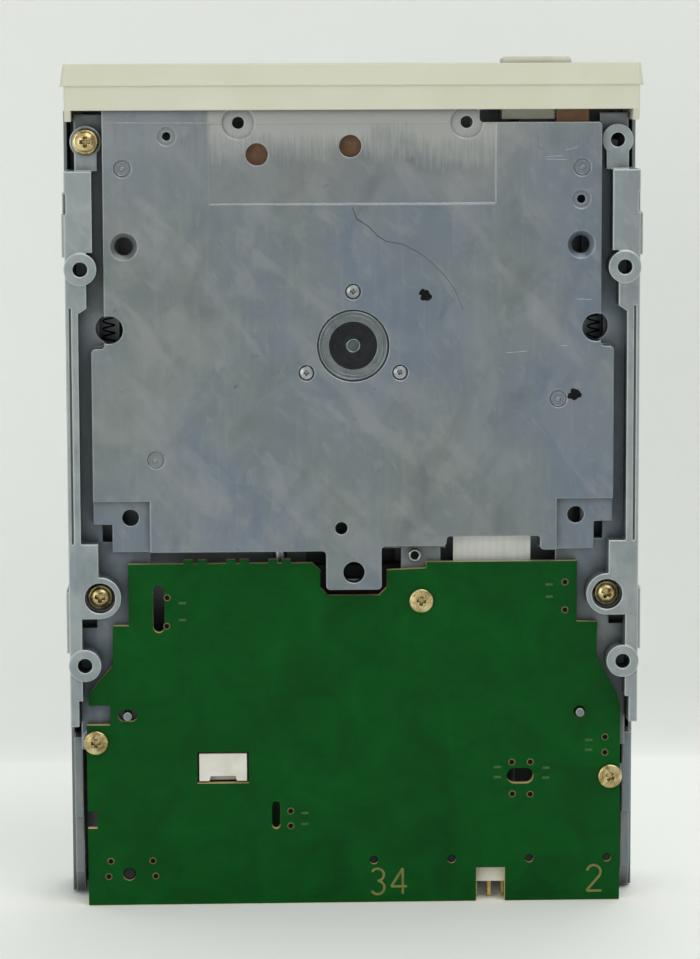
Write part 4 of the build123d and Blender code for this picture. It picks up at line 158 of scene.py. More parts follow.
def placed(name: str, data: bpy.types.ID) -> bpy.types.Object:
    """Put an object with this data into the scene.

    Args:
        name: Name of the object.
        data: Its mesh, light or camera.

    Returns:
        The new object, at the origin.
    """
    thing = bpy.data.objects.new(name, data)
    bpy.context.scene.collection.objects.link(thing)
    return thing


class MixSocket(IntEnum):
    """Sockets of a colour mix node, by index."""

    SHARE = 0
    UNDER = 6
    OVER = 7
    RESULT = 2


@dataclass(frozen=True)
class Finish:
    """A surface: three tones of a mottle, a fine grain in relief, and softened edges; where set, painted
    shade in its corners and pale edges of wear and painted highlight.

    Sizes are in millimetres. The grain is drawn coarser than the real one, so that it shows.
    """

    name: str
    deep: str
    tone: str
    pale: str
    roughness: float
    metallic: float = 0.0
    spread: float = 0.08
    mottle: float = 12.0
    grain: float = 0.6
    relief: float = 0.02
    edge: float = 0.25
    worn_lit_tone: str = ""
    wear_and_highlight: float = 0.0
    gloss: float = 0.5
    corner_shade_tone: str = "#2E3436"
    corner_shade_share: float = 0.0
    shade_reach: float = 4.0

    def material(self) -> bpy.types.Material:
        """Build the material with its colour, roughness and relief.

        Returns:
            The new material.
        """
        surface = bpy.data.materials.new(self.name)
        surface.use_nodes = True
        tree = surface.node_tree
        tree.nodes.clear()
        place = add_node(tree, "ShaderNodeTexCoord").outputs["Object"]
        mottle = add_node(
            tree, "ShaderNodeTexNoise", {"Vector": place, "Scale": per_mm(self.mottle), **MOTTLE_NOISE}
        ).outputs["Fac"]
        ramp = add_node(tree, "ShaderNodeValToRGB", {"Fac": mottle})
        stops = ramp.color_ramp.elements
        for i, tone in enumerate((self.deep, self.pale)):
            stops[i].position = TONE_WINDOW[i]
            stops[i].color = linear(tone)
        stops.new(MIDDLE_TONE).color = linear(self.tone)
        soft = add_node(tree, "ShaderNodeBevel", {"Radius": self.edge * MM}, samples=SHADER_SAMPLES)
        colour = self.colour(tree, place, ramp.outputs["Color"])
        # Painted shade: corners and narrow gaps are darkened in the colour
        if self.corner_shade_share:
            colour = self.paint_corner_shade(tree, colour)
        # Pale edges: partly wear, partly a painted highlight where edges catch the light
        if self.wear_and_highlight:
            colour = self.worn_edges(tree, soft, colour)
        rough = add_node(
            tree, "ShaderNodeMapRange",
            {"Value": mottle, "From Min": GLOSS_WINDOW[0], "From Max": GLOSS_WINDOW[1],
             "To Min": self.roughness - self.spread, "To Max": self.roughness + self.spread},
        )
        bump = add_node(
            tree, "ShaderNodeBump",
            {"Height": self.height(tree, place), "Distance": self.relief * MM,
             "Normal": soft.outputs["Normal"]},
        )
        shader = add_node(
            tree, "ShaderNodeBsdfPrincipled",
            {"Base Color": colour, "Roughness": rough.outputs["Result"], "Metallic": self.metallic,
             "Specular IOR Level": self.gloss, "Normal": bump.outputs["Normal"]},
        )
        self.tune(shader)
        add_node(tree, "ShaderNodeOutputMaterial", {"Surface": shader.outputs["BSDF"]})
        return surface

    def paint_corner_shade(self, tree: bpy.types.NodeTree, colour: bpy.types.NodeSocket) -> bpy.types.NodeSocket:
        """Paint shade into corners and narrow gaps, darker the more closed in a spot is.

        Args:
            tree: The material's node tree.
            colour: Colour so far.

        Returns:
            The socket with the colour and its painted shade.
        """
        reach = self.shade_reach * MM
        open_share = add_node(tree, "ShaderNodeAmbientOcclusion", {"Distance": reach}, samples=SHADER_SAMPLES)
        share = add_node(
            tree, "ShaderNodeMapRange",
            {"Value": open_share.outputs["AO"], "From Min": CORNER_WINDOW[0], "From Max": CORNER_WINDOW[1],
             "To Min": self.corner_shade_share, "To Max": 0.0},
        )
        layer = {
            MixSocket.SHARE: share.outputs["Result"], MixSocket.UNDER: colour,
            MixSocket.OVER: linear(self.corner_shade_tone),
        }
        return add_node(tree, "ShaderNodeMix", layer, data_type="RGBA").outputs[MixSocket.RESULT]

    def worn_edges(
        self, tree: bpy.types.NodeTree, soft: bpy.types.Node, colour: bpy.types.NodeSocket
    ) -> bpy.types.NodeSocket:
        """Lay a pale tone along edges, where the rounded normal leaves the flat one: partly wear, partly a
        painted highlight.

        Args:
            tree: The material's node tree.
            soft: The node that rounds the edges.
            colour: Colour so far.

        Returns:
            The socket with the colour and its pale edges of wear and painted highlight.
        """
        flat = add_node(tree, "ShaderNodeNewGeometry").outputs["Normal"]
        agree = add_node(
            tree, "ShaderNodeVectorMath", {0: soft.outputs["Normal"], 1: flat}, operation="DOT_PRODUCT"
        )
        edge = add_node(
            tree, "ShaderNodeMapRange",
            {"Value": agree.outputs["Value"], "From Min": EDGE_WINDOW[0], "From Max": EDGE_WINDOW[1],
             "To Max": self.wear_and_highlight},
        )
        layer = {
            MixSocket.SHARE: edge.outputs["Result"], MixSocket.UNDER: colour,
            MixSocket.OVER: linear(self.worn_lit_tone),
        }
        return add_node(tree, "ShaderNodeMix", layer, data_type="RGBA").outputs[MixSocket.RESULT]

    def colour(
        self, tree: bpy.types.NodeTree, place: bpy.types.NodeSocket, base: bpy.types.NodeSocket
    ) -> bpy.types.NodeSocket:
        """Give the surface's colour; a plain finish keeps its mottle."""
        return base

    def height(self, tree: bpy.types.NodeTree, place: bpy.types.NodeSocket) -> bpy.types.NodeSocket:
        """Give the relief; a plain finish has its grain alone."""
        return add_node(
            tree, "ShaderNodeTexNoise", {"Vector": place, "Scale": per_mm(self.grain), "Detail": 3.0}
        ).outputs["Fac"]

    def tune(self, shader: bpy.types.Node) -> None:
        """Set what is special to the shader; a plain finish has nothing."""


@dataclass(frozen=True)
class Patches:
    """A patchy layer in a casting's skin.

    The size is a patch's width across the flow in millimetres. The window holds the noise values where the
    layer starts and where it is full. The stretch is a patch's length along the flow, in widths, and the turn
    is the flow's angle from Y in radians.
    """

    size: float
    window: Spot
    most: float = 1.0
    stretch: float = 1.0
    turn: float = 0.0

    def share(self, tree: bpy.types.NodeTree, place: bpy.types.NodeSocket) -> bpy.types.NodeSocket:
        """Give the layer's share at each place.

        Args:
            tree: The material's node tree.
            place: Object coordinates.

        Returns:
            The socket with the share.
        """
        turned = add_node(tree, "ShaderNodeMapping", {"Vector": place, "Rotation": (0.0, 0.0, self.turn)})
        drawn = add_node(
            tree, "ShaderNodeMapping",
            {"Vector": turned.outputs["Vector"], "Scale": (1.0, 1.0 / self.stretch, 1.0)},
        )
        noise = add_node(
            tree, "ShaderNodeTexNoise",
            {"Vector": drawn.outputs["Vector"], "Scale": per_mm(self.size), "Detail": 4.0, "Distortion": 0.4},
        )
        return add_node(
            tree, "ShaderNodeMapRange",
            {"Value": noise.outputs["Fac"], "From Min": self.window[0], "From Max": self.window[1],
             "To Max": self.most},
        ).outputs["Result"]


# Layers of a casting's skin
CLOUDS = Patches(26.0, (0.38, 0.62), most=0.85, stretch=1.5)
STAINS = Patches(14.0, (0.53, 0.57), most=0.2, stretch=1.4)
STREAKS = Patches(1.3, (0.52, 0.8), most=0.26, stretch=14.0)
PALE_SMEARS = Patches(5.0, (0.54, 0.66), most=0.42, stretch=3.0, turn=0.7)
DARK_SMEARS = Patches(8.0, (0.56, 0.72), most=0.3, stretch=2.2, turn=-0.5)
DABBLES = Patches(2.0, (0.56, 0.72), most=0.32, stretch=1.6, turn=0.4)
FLECKS = Patches(2.4, (0.7, 0.8), most=0.6)
# Shift of the brushed strip's rear edge in metres: a slow wander, and the fray of single strokes
STRIP_WANDER = Patches(15.0, (0.3, 0.7), most=5 * MM)
STRIP_FRAY = Patches(0.4, (0.3, 0.7), most=3 * MM, stretch=14.0)


@dataclass(frozen=True)
class CastMetal(Finish):
    """Bare die-cast aluminium: clouds, stains and streaks along the flow, and dark flecks.

    A banded casting also has a warmer pad at the front of its underside, with a pale brushed strip on it. The
    strip is clear at the first place of its fade along Y and full at the second.
    """

    banded: bool = False
    cloud: str = "#75808E"
    stain: str = "#999C9E"
    fleck: str = "#565E62"
    strip: str = "#B0B1AD"
    strip_fade: Spot = (-49.4, -55.0)
    strip_most: float = 0.8
    pad: str = "#8E8D8A"
    pad_half: float = 24.9
    pad_back: float = -46.0
    pad_fade: float = 0.6
    pad_most: float = 0.25
    beside_pad: float = 0.2

    def colour(
        self, tree: bpy.types.NodeTree, place: bpy.types.NodeSocket, base: bpy.types.NodeSocket
    ) -> bpy.types.NodeSocket:
        """Lay clouds, stains, streaks and flecks over the mottle, and the strip over them.

        Args:
            tree: The material's node tree.
            place: Object coordinates.
            base: The mottle's colour.

        Returns:
            The socket with the stained colour.
        """
        skin = (
            (self.cloud, CLOUDS), (self.stain, STAINS), (self.stain, STREAKS), (self.stain, PALE_SMEARS),
            (self.fleck, DARK_SMEARS), (self.stain, DABBLES), (self.fleck, FLECKS),
        )
        tint = base
        for tone, patches in skin:
            share = patches.share(tree, place)
            layer = {MixSocket.SHARE: share, MixSocket.UNDER: tint, MixSocket.OVER: linear(tone)}
            tint = add_node(tree, "ShaderNodeMix", layer, data_type="RGBA").outputs[MixSocket.RESULT]
        return self.brushed_strip(tree, place, tint) if self.banded else tint

    def brushed_strip(
        self, tree: bpy.types.NodeTree, place: bpy.types.NodeSocket, tint: bpy.types.NodeSocket
    ) -> bpy.types.NodeSocket:
        """Tint the pad at the underside's front, and lay the pale strip with its ragged rear edge on it.

        Args:
            tree: The material's node tree.
            place: Object coordinates.
            tint: Colour so far.

        Returns:
            The socket with the colour and the strip.
        """
        axes = add_node(tree, "ShaderNodeSeparateXYZ", {"Vector": place})
        wander, fray = (patches.share(tree, place) for patches in (STRIP_WANDER, STRIP_FRAY))
        shift = add_node(tree, "ShaderNodeMath", {0: wander, 1: fray}, operation="ADD").outputs["Value"]
        edge = add_node(tree, "ShaderNodeMath", {0: axes.outputs["Y"], 1: shift}, operation="ADD")
        reach = add_node(
            tree, "ShaderNodeMapRange",
            {"Value": edge.outputs["Value"], "From Min": self.strip_fade[0] * MM,
             "From Max": self.strip_fade[1] * MM, "To Max": self.strip_most},
        )
        aside = add_node(tree, "ShaderNodeMath", {0: axes.outputs["X"]}, operation="ABSOLUTE")
        inside = add_node(
            tree, "ShaderNodeMapRange",
            {"Value": aside.outputs["Value"], "From Min": self.pad_half * MM,
             "From Max": (self.pad_half + self.pad_fade) * MM, "To Min": 1.0, "To Max": self.beside_pad},
        )
        ahead = add_node(
            tree, "ShaderNodeMapRange",
            {"Value": axes.outputs["Y"], "From Min": self.pad_back * MM,
             "From Max": (self.pad_back - self.pad_fade) * MM, "To Max": self.pad_most},
        )
        for tone, share in ((self.pad, ahead), (self.strip, reach)):
            both = add_node(
                tree, "ShaderNodeMath", {0: share.outputs["Result"], 1: inside.outputs["Result"]},
                operation="MULTIPLY",
            ).outputs["Value"]
            layer = {MixSocket.SHARE: both, MixSocket.UNDER: tint, MixSocket.OVER: linear(tone)}
            tint = add_node(tree, "ShaderNodeMix", layer, data_type="RGBA").outputs[MixSocket.RESULT]
        return tint


@dataclass(frozen=True)
class RolledSheet(Finish):
    """Rolled or drawn metal: fine lines along one direction, in tone and relief."""

    line: float = 0.35
    line_start: float = 0.4
    line_most: float = 0.6
    stretch: Triple = (1.0, 0.02, 1.0)

    def lines(self, tree: bpy.types.NodeTree, place: bpy.types.NodeSocket) -> bpy.types.NodeSocket:
        """Give the rolling lines; they are drawn coarser than the real ones, so that they show."""
        drawn = add_node(tree, "ShaderNodeMapping", {"Vector": place, "Scale": self.stretch})
        return add_node(
            tree, "ShaderNodeTexNoise",
            {"Vector": drawn.outputs["Vector"], "Scale": per_mm(self.line), "Detail": 3.0},
        ).outputs["Fac"]

    def colour(
        self, tree: bpy.types.NodeTree, place: bpy.types.NodeSocket, base: bpy.types.NodeSocket
    ) -> bpy.types.NodeSocket:
        """Darken the mottle a little along the rolling lines.

        Args:
            tree: The material's node tree.
            place: Object coordinates.
            base: The mottle's colour.

        Returns:
            The socket with the lined colour.
        """
        share = add_node(
            tree, "ShaderNodeMapRange",
            {"Value": self.lines(tree, place), "From Min": self.line_start, "To Max": self.line_most},
        ).outputs["Result"]
        layer = {MixSocket.SHARE: share, MixSocket.UNDER: base, MixSocket.OVER: linear(self.deep)}
        return add_node(tree, "ShaderNodeMix", layer, data_type="RGBA").outputs[MixSocket.RESULT]

    def height(self, tree: bpy.types.NodeTree, place: bpy.types.NodeSocket) -> bpy.types.NodeSocket:
        """Use the rolling lines as the relief."""
        return self.lines(tree, place)


@dataclass(frozen=True)
class CircuitBoard(Finish):
    """Glass-epoxy board under solder mask: buried copper shows as faint patches, cut edges are bare."""

    cut: str = "#D9C38C"
    buried: str = "#145220"
    buried_share: float = 0.14
    track_wide: float = 1.6
    track_long: float = 8.0
    track_gap: float = 0.12
    track_blur: float = 0.2
    track_shift: float = 0.37
    thin_copper: Colour = (0.6, 0.6, 0.6, 1.0)
    side_window: Spot = (0.7, 0.5)

    def colour(
        self, tree: bpy.types.NodeTree, place: bpy.types.NodeSocket, base: bpy.types.NodeSocket
    ) -> bpy.types.NodeSocket:
        """Add the copper's faint patches under the mask, and the tan of the cut edges.

        Args:
            tree: The material's node tree.
            place: Object coordinates.
            base: The mask's colour.

        Returns:
            The socket with the board's colour.
        """
        copper = add_node(
            tree, "ShaderNodeTexBrick",
            {"Vector": place, "Scale": per_mm(1.0), "Brick Width": self.track_long,
             "Row Height": self.track_wide, "Mortar Size": self.track_gap, "Mortar Smooth": self.track_blur,
             "Color1": (0, 0, 0, 1), "Color2": self.thin_copper, "Mortar": (1, 1, 1, 1)},
            offset=self.track_shift,
        )
        faint = add_node(
            tree, "ShaderNodeMapRange", {"Value": copper.outputs["Color"], "To Max": self.buried_share}
        ).outputs["Result"]
        layer = {MixSocket.SHARE: faint, MixSocket.UNDER: base, MixSocket.OVER: linear(self.buried)}
        mask = add_node(tree, "ShaderNodeMix", layer, data_type="RGBA").outputs[MixSocket.RESULT]
        facing = add_node(tree, "ShaderNodeTexCoord").outputs["Normal"]
        axes = add_node(tree, "ShaderNodeSeparateXYZ", {"Vector": facing})
        level = add_node(tree, "ShaderNodeMath", {0: axes.outputs["Z"]}, operation="ABSOLUTE")
        side = add_node(
            tree, "ShaderNodeMapRange",
            {"Value": level.outputs["Value"], "From Min": self.side_window[0],
             "From Max": self.side_window[1]},
        ).outputs["Result"]
        layer = {MixSocket.SHARE: side, MixSocket.UNDER: mask, MixSocket.OVER: linear(self.cut)}
        return add_node(tree, "ShaderNodeMix", layer, data_type="RGBA").outputs[MixSocket.RESULT]


class BandAxis(Enum):
    """Axis along which a film's bands follow each other."""

    ACROSS = "X"
    UPWARD = "Z"


@dataclass(frozen=True)
class BandedFilm(Finish):
    """A surface with even bands: conductors in film, or turns of wire."""

    band: str = "#8D979B"
    pitch: float = 1.0
    strength: float = 0.5
    axis: BandAxis = BandAxis.ACROSS
    window: Spot = (0.45, 0.75)

    def bands(self, tree: bpy.types.NodeTree, place: bpy.types.NodeSocket) -> bpy.types.NodeSocket:
        """Give the even bands at their real pitch."""
        return add_node(
            tree, "ShaderNodeTexWave",
            {"Vector": place, "Scale": bands_per_mm(self.pitch), "Distortion": 0.0},
            wave_type="BANDS", bands_direction=self.axis.value,
        ).outputs["Fac"]

    def colour(
        self, tree: bpy.types.NodeTree, place: bpy.types.NodeSocket, base: bpy.types.NodeSocket
    ) -> bpy.types.NodeSocket:
        """Draw the bands over the mottle.

        Args:
            tree: The material's node tree.
            place: Object coordinates.
            base: The mottle's colour.

        Returns:
            The socket with the banded colour.
        """
        share = add_node(
            tree, "ShaderNodeMapRange",
            {"Value": self.bands(tree, place), "From Min": self.window[0], "From Max": self.window[1],
             "To Max": self.strength},
        ).outputs["Result"]
        layer = {MixSocket.SHARE: share, MixSocket.UNDER: base, MixSocket.OVER: linear(self.band)}
        return add_node(tree, "ShaderNodeMix", layer, data_type="RGBA").outputs[MixSocket.RESULT]

    def height(self, tree: bpy.types.NodeTree, place: bpy.types.NodeSocket) -> bpy.types.NodeSocket:
        """Use the bands as the relief."""
        return self.bands(tree, place)


@dataclass(frozen=True)
class ClearPlastic(Finish):
    """Tinted clear plastic that lets some light through."""

    see_through: float = 0.55
    refraction: float = 1.49

    def tune(self, shader: bpy.types.Node) -> None:
        """Let light into the plastic and bend it as acrylic does."""
        shader.inputs["Transmission Weight"].default_value = self.see_through
        shader.inputs["IOR"].default_value = self.refraction


@dataclass(frozen=True)
class PassivatedMetal(Finish):
    """Plated metal under a thin clear film, whose shine is whiter than the plating."""

    film_share: float = 0.6
    film_roughness: float = 0.16

    def tune(self, shader: bpy.types.Node) -> None:
        """Lay the clear film over the plating."""
        shader.inputs["Coat Weight"].default_value = self.film_share
        shader.inputs["Coat Roughness"].default_value = self.film_roughness


class SlotFinish(Enum):
    """The record's material slots, each with its finish."""

    # As-cast aluminium: dull blue-grey, cloudy and smeared, with pale rubbed edges that also carry a painted
    # highlight, and painted shade in its corners and channels
    CAST_ALUMINIUM = CastMetal(
        "die-cast aluminium floor", "#7B8284", "#828988", "#8B908F", 0.5, metallic=1.0, spread=0.06,
        mottle=9, grain=0.5, relief=0.02, edge=0.4, worn_lit_tone="#D0D5D6", wear_and_highlight=0.5, corner_shade_share=0.7, banded=True,
    )
    # Blasted casting: paler and more even than the floor, with pale edges that are partly a painted
    # highlight, and painted shade in its corners
    CAST_RAIL = CastMetal(
        "die-cast aluminium rail", "#8B9393", "#969E9E", "#A3AAA9", 0.55, metallic=1.0, mottle=6,
        grain=0.4, relief=0.02, edge=0.45, worn_lit_tone="#DBE0DF", wear_and_highlight=0.8, corner_shade_share=0.7, cloud="#8B959B",
        stain="#ADB3B2", fleck="#687170",
    )
    # Zinc-plated steel sheet: even grey with fine rolling lines, pale edges partly of painted highlight, and
    # painted shade near other parts and in corners
    ZINC_SHEET = RolledSheet(
        "zinc-plated steel sheet", "#999FA2", "#A2A8AB", "#AAAFB2", 0.36, metallic=1.0, spread=0.04,
        mottle=34, relief=0.004, edge=0.15, worn_lit_tone="#CBD0D2", wear_and_highlight=0.4, corner_shade_tone="#1A1D1F", corner_shade_share=0.8,
        shade_reach=9.0,
    )
    # Ground steel: bright, with faint lines from the grinding
    BRIGHT_STEEL = RolledSheet(
        "ground bright steel", "#8C9092", "#A4A8A9", "#BEC2C2", 0.28, metallic=1.0, mottle=3, line=0.12,
        relief=0.003, edge=0.1, stretch=(1.0, 1.0, 0.05),
    )
    # Yellow passivated zinc: pale gold with darker patches, under a clear film that shines whiter, with pale
    # edges that are partly a painted highlight
    YELLOW_ZINC = PassivatedMetal(
        "yellow-passivated zinc", "#7A683E", "#B6A26C", "#DDCF9F", 0.28, metallic=1.0, mottle=2.2,
        grain=0.15, relief=0.006, edge=0.14, worn_lit_tone="#F6F0CE", wear_and_highlight=0.7,
    )
    # Moulded ABS: satin, finely grained, a little yellowed
    CREAM_PLASTIC = Finish(
        "moulded ABS, aged cream", "#D1D1BB", "#D4D4BF", "#D7D7C3", 0.5, mottle=22, grain=0.5,
        relief=0.008, edge=0.45, worn_lit_tone="#E6E6D8", wear_and_highlight=0.35,
    )
    # The same ABS, greyer from handling
    CREAM_BUTTON = Finish(
        "moulded ABS, handled grey cream", "#BAB9A7", "#C3C2B0", "#CACAB8", 0.5, mottle=5, grain=0.5,
        relief=0.01, edge=0.4, worn_lit_tone="#DCDBCB", wear_and_highlight=0.35,
    )
    # Moulded acrylic light pipe: glossy, and dark green while no light comes through
    CLEAR_GREEN_PLASTIC = ClearPlastic(
        "clear green acrylic", "#557F45", "#5E8A4C", "#6B9A57", 0.12, mottle=4, relief=0.002, edge=0.2,
    )
    # Filled nylon: near black and satin, a little greyer along its edges
    BLACK_PLASTIC = Finish(
        "moulded black nylon", "#15161A", "#1B1D20", "#25282C", 0.45, mottle=3, grain=0.35, relief=0.01,
        edge=0.2, worn_lit_tone="#3A3D40", wear_and_highlight=0.5, gloss=0.2,
    )
    # Polyester moulding: white with warm shade in the corners
    WHITE_PLASTIC = Finish(
        "moulded white polyester", "#D8D6CA", "#E1DFD4", "#E8E6DD", 0.42, mottle=5, grain=0.4,
        relief=0.008, edge=0.25, corner_shade_tone="#6E6557", corner_shade_share=0.5, shade_reach=3.0,
    )
    # Lapped ceramic slider: white, smooth and glossy
    WHITE_CERAMIC = Finish(
        "lapped white ceramic", "#DEDCD2", "#E6E4DB", "#EDEBE4", 0.15, mottle=1.5, grain=0.2,
        relief=0.002, edge=0.1,
    )
    # Glass-epoxy board under green solder mask: deep green, with tan where it is cut
    GREEN_BOARD = CircuitBoard(
        "glass-epoxy board, green mask", "#024211", "#024914", "#045118", 0.36, mottle=9, grain=0.35,
        relief=0.006, edge=0.12, gloss=0.1,
    )
    # Pressed paper-phenolic board: brown, with the paper's blotches
    BROWN_BOARD = Finish(
        "paper-phenolic board", "#6B4A30", "#7C583A", "#8C6847", 0.5, mottle=2.5, grain=0.4, relief=0.01,
        edge=0.15,
    )
    # Gold flash over drawn brass: warm and bright, with fine lines
    GOLD_PINS = RolledSheet(
        "gold-flashed brass pin", "#A98B4A", "#C6A866", "#DCC48C", 0.3, metallic=1.0, mottle=1.5,
        line=0.15, relief=0.003, edge=0.08,
    )
    # Enamelled wire: close turns in red copper
    COPPER_WIRE = BandedFilm(
        "enamelled copper winding", "#8A4A28", "#A85E34", "#C07848", 0.35, metallic=1.0, mottle=2,
        relief=0.08, edge=0.2, band="#5E2F18", pitch=0.3, strength=0.6, axis=BandAxis.UPWARD,
    )
    # Sintered ferrite: near black, fine and dull
    DARK_MAGNET = Finish(
        "sintered ferrite", "#2A2B2D", "#343537", "#414244", 0.5, mottle=2, grain=0.3, relief=0.01,
        edge=0.25,
    )
    # Turned bearing metal under old oil: even grey, with a painted highlight on its turned rims
    DARK_BEARING = Finish(
        "oiled turned bearing metal", "#70777A", "#7A8184", "#858B8D", 0.3, metallic=1.0, spread=0.04,
        mottle=3, grain=0.3, relief=0.004, edge=0.3, worn_lit_tone="#D4D8D8", wear_and_highlight=0.35,
    )
    # Polyester film cable: white, with its flat conductors as faint grey bands
    WHITE_RIBBON = BandedFilm(
        "white film cable", "#DADED8", "#E2E5E0", "#E8EAE6", 0.4, mottle=6, relief=0.01, edge=0.1,
        band="#C8CCC8", pitch=1.25, strength=0.12,
    )


class ExtraFinish(Enum):
    """Finishes of the small marks that have no slot of their own."""

    # Etched copper figures under the mask: dull tan
    BOARD_TAN = Finish(
        "masked copper tan", "#66642A", "#757132", "#837D3B", 0.4, mottle=1.2, grain=0.2, relief=0.003,
        edge=0.02,
    )
    # Thin copper legend under the mask: a paler green
    BOARD_LEGEND = Finish(
        "masked copper legend", "#254F1B", "#2F5820", "#3B6125", 0.4, mottle=1.0, grain=0.2, relief=0.003,
        edge=0.02,
    )
    # Cut glass-epoxy round a drilled hole: brown and matt
    HOLE_RIM = Finish(
        "drilled glass-epoxy rim", "#54502A", "#655B30", "#7A6A3A", 0.6, mottle=0.8, grain=0.2,
        relief=0.004, edge=0.03,
    )
    # Painted shade of a drilled hole: an almost black, matt disc that stands for its dark inside
    HOLE_DARK = Finish(
        "shaded drilled hole", "#0A0D09", "#10140E", "#181C14", 0.7, mottle=0.6, grain=0.2, relief=0.01,
        edge=0.02, gloss=0.05,
    )
    # Marker ink that soaked into the rough casting: black and matt
    INK = Finish(
        "dried black ink", "#0B0C0E", "#111315", "#1A1D1F", 0.7, mottle=0.8, grain=0.3, relief=0.02,
        edge=0.02, gloss=0.1,
    )
    # Cold-flow seam in the casting: a dark, dull line
    SEAM = Finish(
        "cold-flow seam", "#4C5459", "#566065", "#636C71", 0.6, metallic=1.0, mottle=1.5, grain=0.3,
        relief=0.02, edge=0.02,
    )
    # Freshly rubbed aluminium: scratches and rubbed ridges shine
    RUBBED = Finish(
        "rubbed aluminium", "#A2A8AA", "#B0B5B7", "#C0C5C6", 0.35, metallic=1.0, mottle=0.8, grain=0.2,
        relief=0.004, edge=0.03,
    )
    # Drawn spring wire, blackened and drawn darker still as painted shade so the guide holes the slide
    # springs sit in look dark: black with a dull shine
    SPRING_WIRE = Finish(
        "blackened spring wire with painted shade", "#0B0C0D", "#101113", "#181A1C", 0.5, metallic=1.0, mottle=1.0,
        grain=0.2, relief=0.004, edge=0.05,
    )


@cache
def material_of(finish: Finish) -> bpy.types.Material:
    """Build a finish's material once and give it on every later call."""
    return finish.material()


def show(name: str, mesh: bpy.types.Mesh, finish: Finish, sharp: float = PLAIN_EDGE) -> bpy.types.Object:
    """Put a finished mesh into the scene with its material.

    Args:
        name: Name of the piece.
        mesh: Its mesh, already in place.
        finish: Its finish.
        sharp: Angle in degrees above which an edge stays sharp.

    Returns:
        The new object, at the origin.
    """
    mesh.materials.clear()
    mesh.materials.append(material_of(finish))
    mesh.polygons.foreach_set("material_index", [0] * len(mesh.polygons))
    mesh.shade_smooth()
    mesh.set_sharp_from_angle(angle=math.radians(sharp))
    return placed(name, mesh)


@dataclass
class Mark:
    """A small piece that sits on a solid, listed with the name of the record's slot where it has one."""

    name: str
    mesh: bpy.types.Mesh
    finish: Finish
    slot: str = ""
    body: str = "frame"
    sharp: float = PLAIN_EDGE

    def lay(self) -> bpy.types.Object:
        """Put the piece into the scene, on its body.

        Returns:
            The piece.
        """
        piece = show(self.name, self.mesh, self.finish, self.sharp)
        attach(piece, self.body)
        return piece


def solids_of(node: str) -> list[tuple[Vector, Vector]]:
    """Find the boxes of the separate solids in a node.

    Args:
        node: Name of the node.

    Returns:
        Lowest and highest corner of each solid, ordered by place.
    """
    work = bmesh.new()
    work.from_mesh(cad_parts[node].data)
    bmesh.ops.remove_doubles(work, verts=work.verts, dist=WELD * MM)
    boxes = []
    todo = set(work.verts)
    while todo:
        group, edge = [], [todo.pop()]
        while edge:
            vert = edge.pop()
            group.append(vert.co.copy())
            near = {link.other_vert(vert) for link in vert.link_edges} & todo
            todo -= near
            edge.extend(near)
        low = Vector(min(p[i] for p in group) for i in range(3))
        high = Vector(max(p[i] for p in group) for i in range(3))
        boxes.append((low, high))
    work.free()
    return sorted(boxes, key=lambda b: tuple(round(v, 5) for v in b[0]))


def revolve(profile: Sequence[Spot], steps: int = 40) -> bpy.types.Mesh:
    """Turn a profile about Z into a closed mesh.

    Args:
        profile: Radius and height of each point in metres, from axis to axis, or a closed ring off the axis.
        steps: Faces round the axis.

    Returns:
        The mesh, with its faces outwards.
    """
    work = bmesh.new()
    rings = []
    for radius, height in profile:
        count = steps if radius > 0 else 1
        turns = [math.tau * i / steps for i in range(count)]
        rings.append([work.verts.new((radius * math.cos(t), radius * math.sin(t), height)) for t in turns])
    closed = profile[0][0] > 0
    pairs = list(zip(rings, rings[1:])) + ([(rings[-1], rings[0])] if closed else [])
    for low, high in pairs:
        for i in range(steps):
            j = (i + 1) % steps
            corners = [low[i % len(low)], low[j % len(low)], high[j % len(high)], high[i % len(high)]]
            work.faces.new(list(dict.fromkeys(corners)))
    return finished(work)


def finished(work: bmesh.types.BMesh) -> bpy.types.Mesh:
    """Turn the faces outwards and close the edit into a mesh.

    Args:
        work: The edited faces.

    Returns:
        The mesh.
    """
    bmesh.ops.recalc_face_normals(work, faces=work.faces)
    mesh = bpy.data.meshes.new("shape")
    work.to_mesh(mesh)
    work.free()
    return mesh


def prism(outline: Sequence[Spot], low: float, high: float, top_share: float = 1.0) -> bpy.types.Mesh:
    """Raise a flat outline into a closed block that may narrow towards its top.

    Args:
        outline: Corners in metres, in order.
        low: Height of the first face.
        high: Height of the second face.
        top_share: Size of the second face as a share of the first.

    Returns:
        The mesh, with its faces outwards.
    """
    work = bmesh.new()
    first = [work.verts.new((x, y, low)) for x, y in outline]
    second = [work.verts.new((x * top_share, y * top_share, high)) for x, y in outline]
    work.faces.new(first)
    work.faces.new(second)
    for i in range(len(outline)):
        j = (i + 1) % len(outline)
        work.faces.new((first[i], first[j], second[j], second[i]))
    return finished(work)


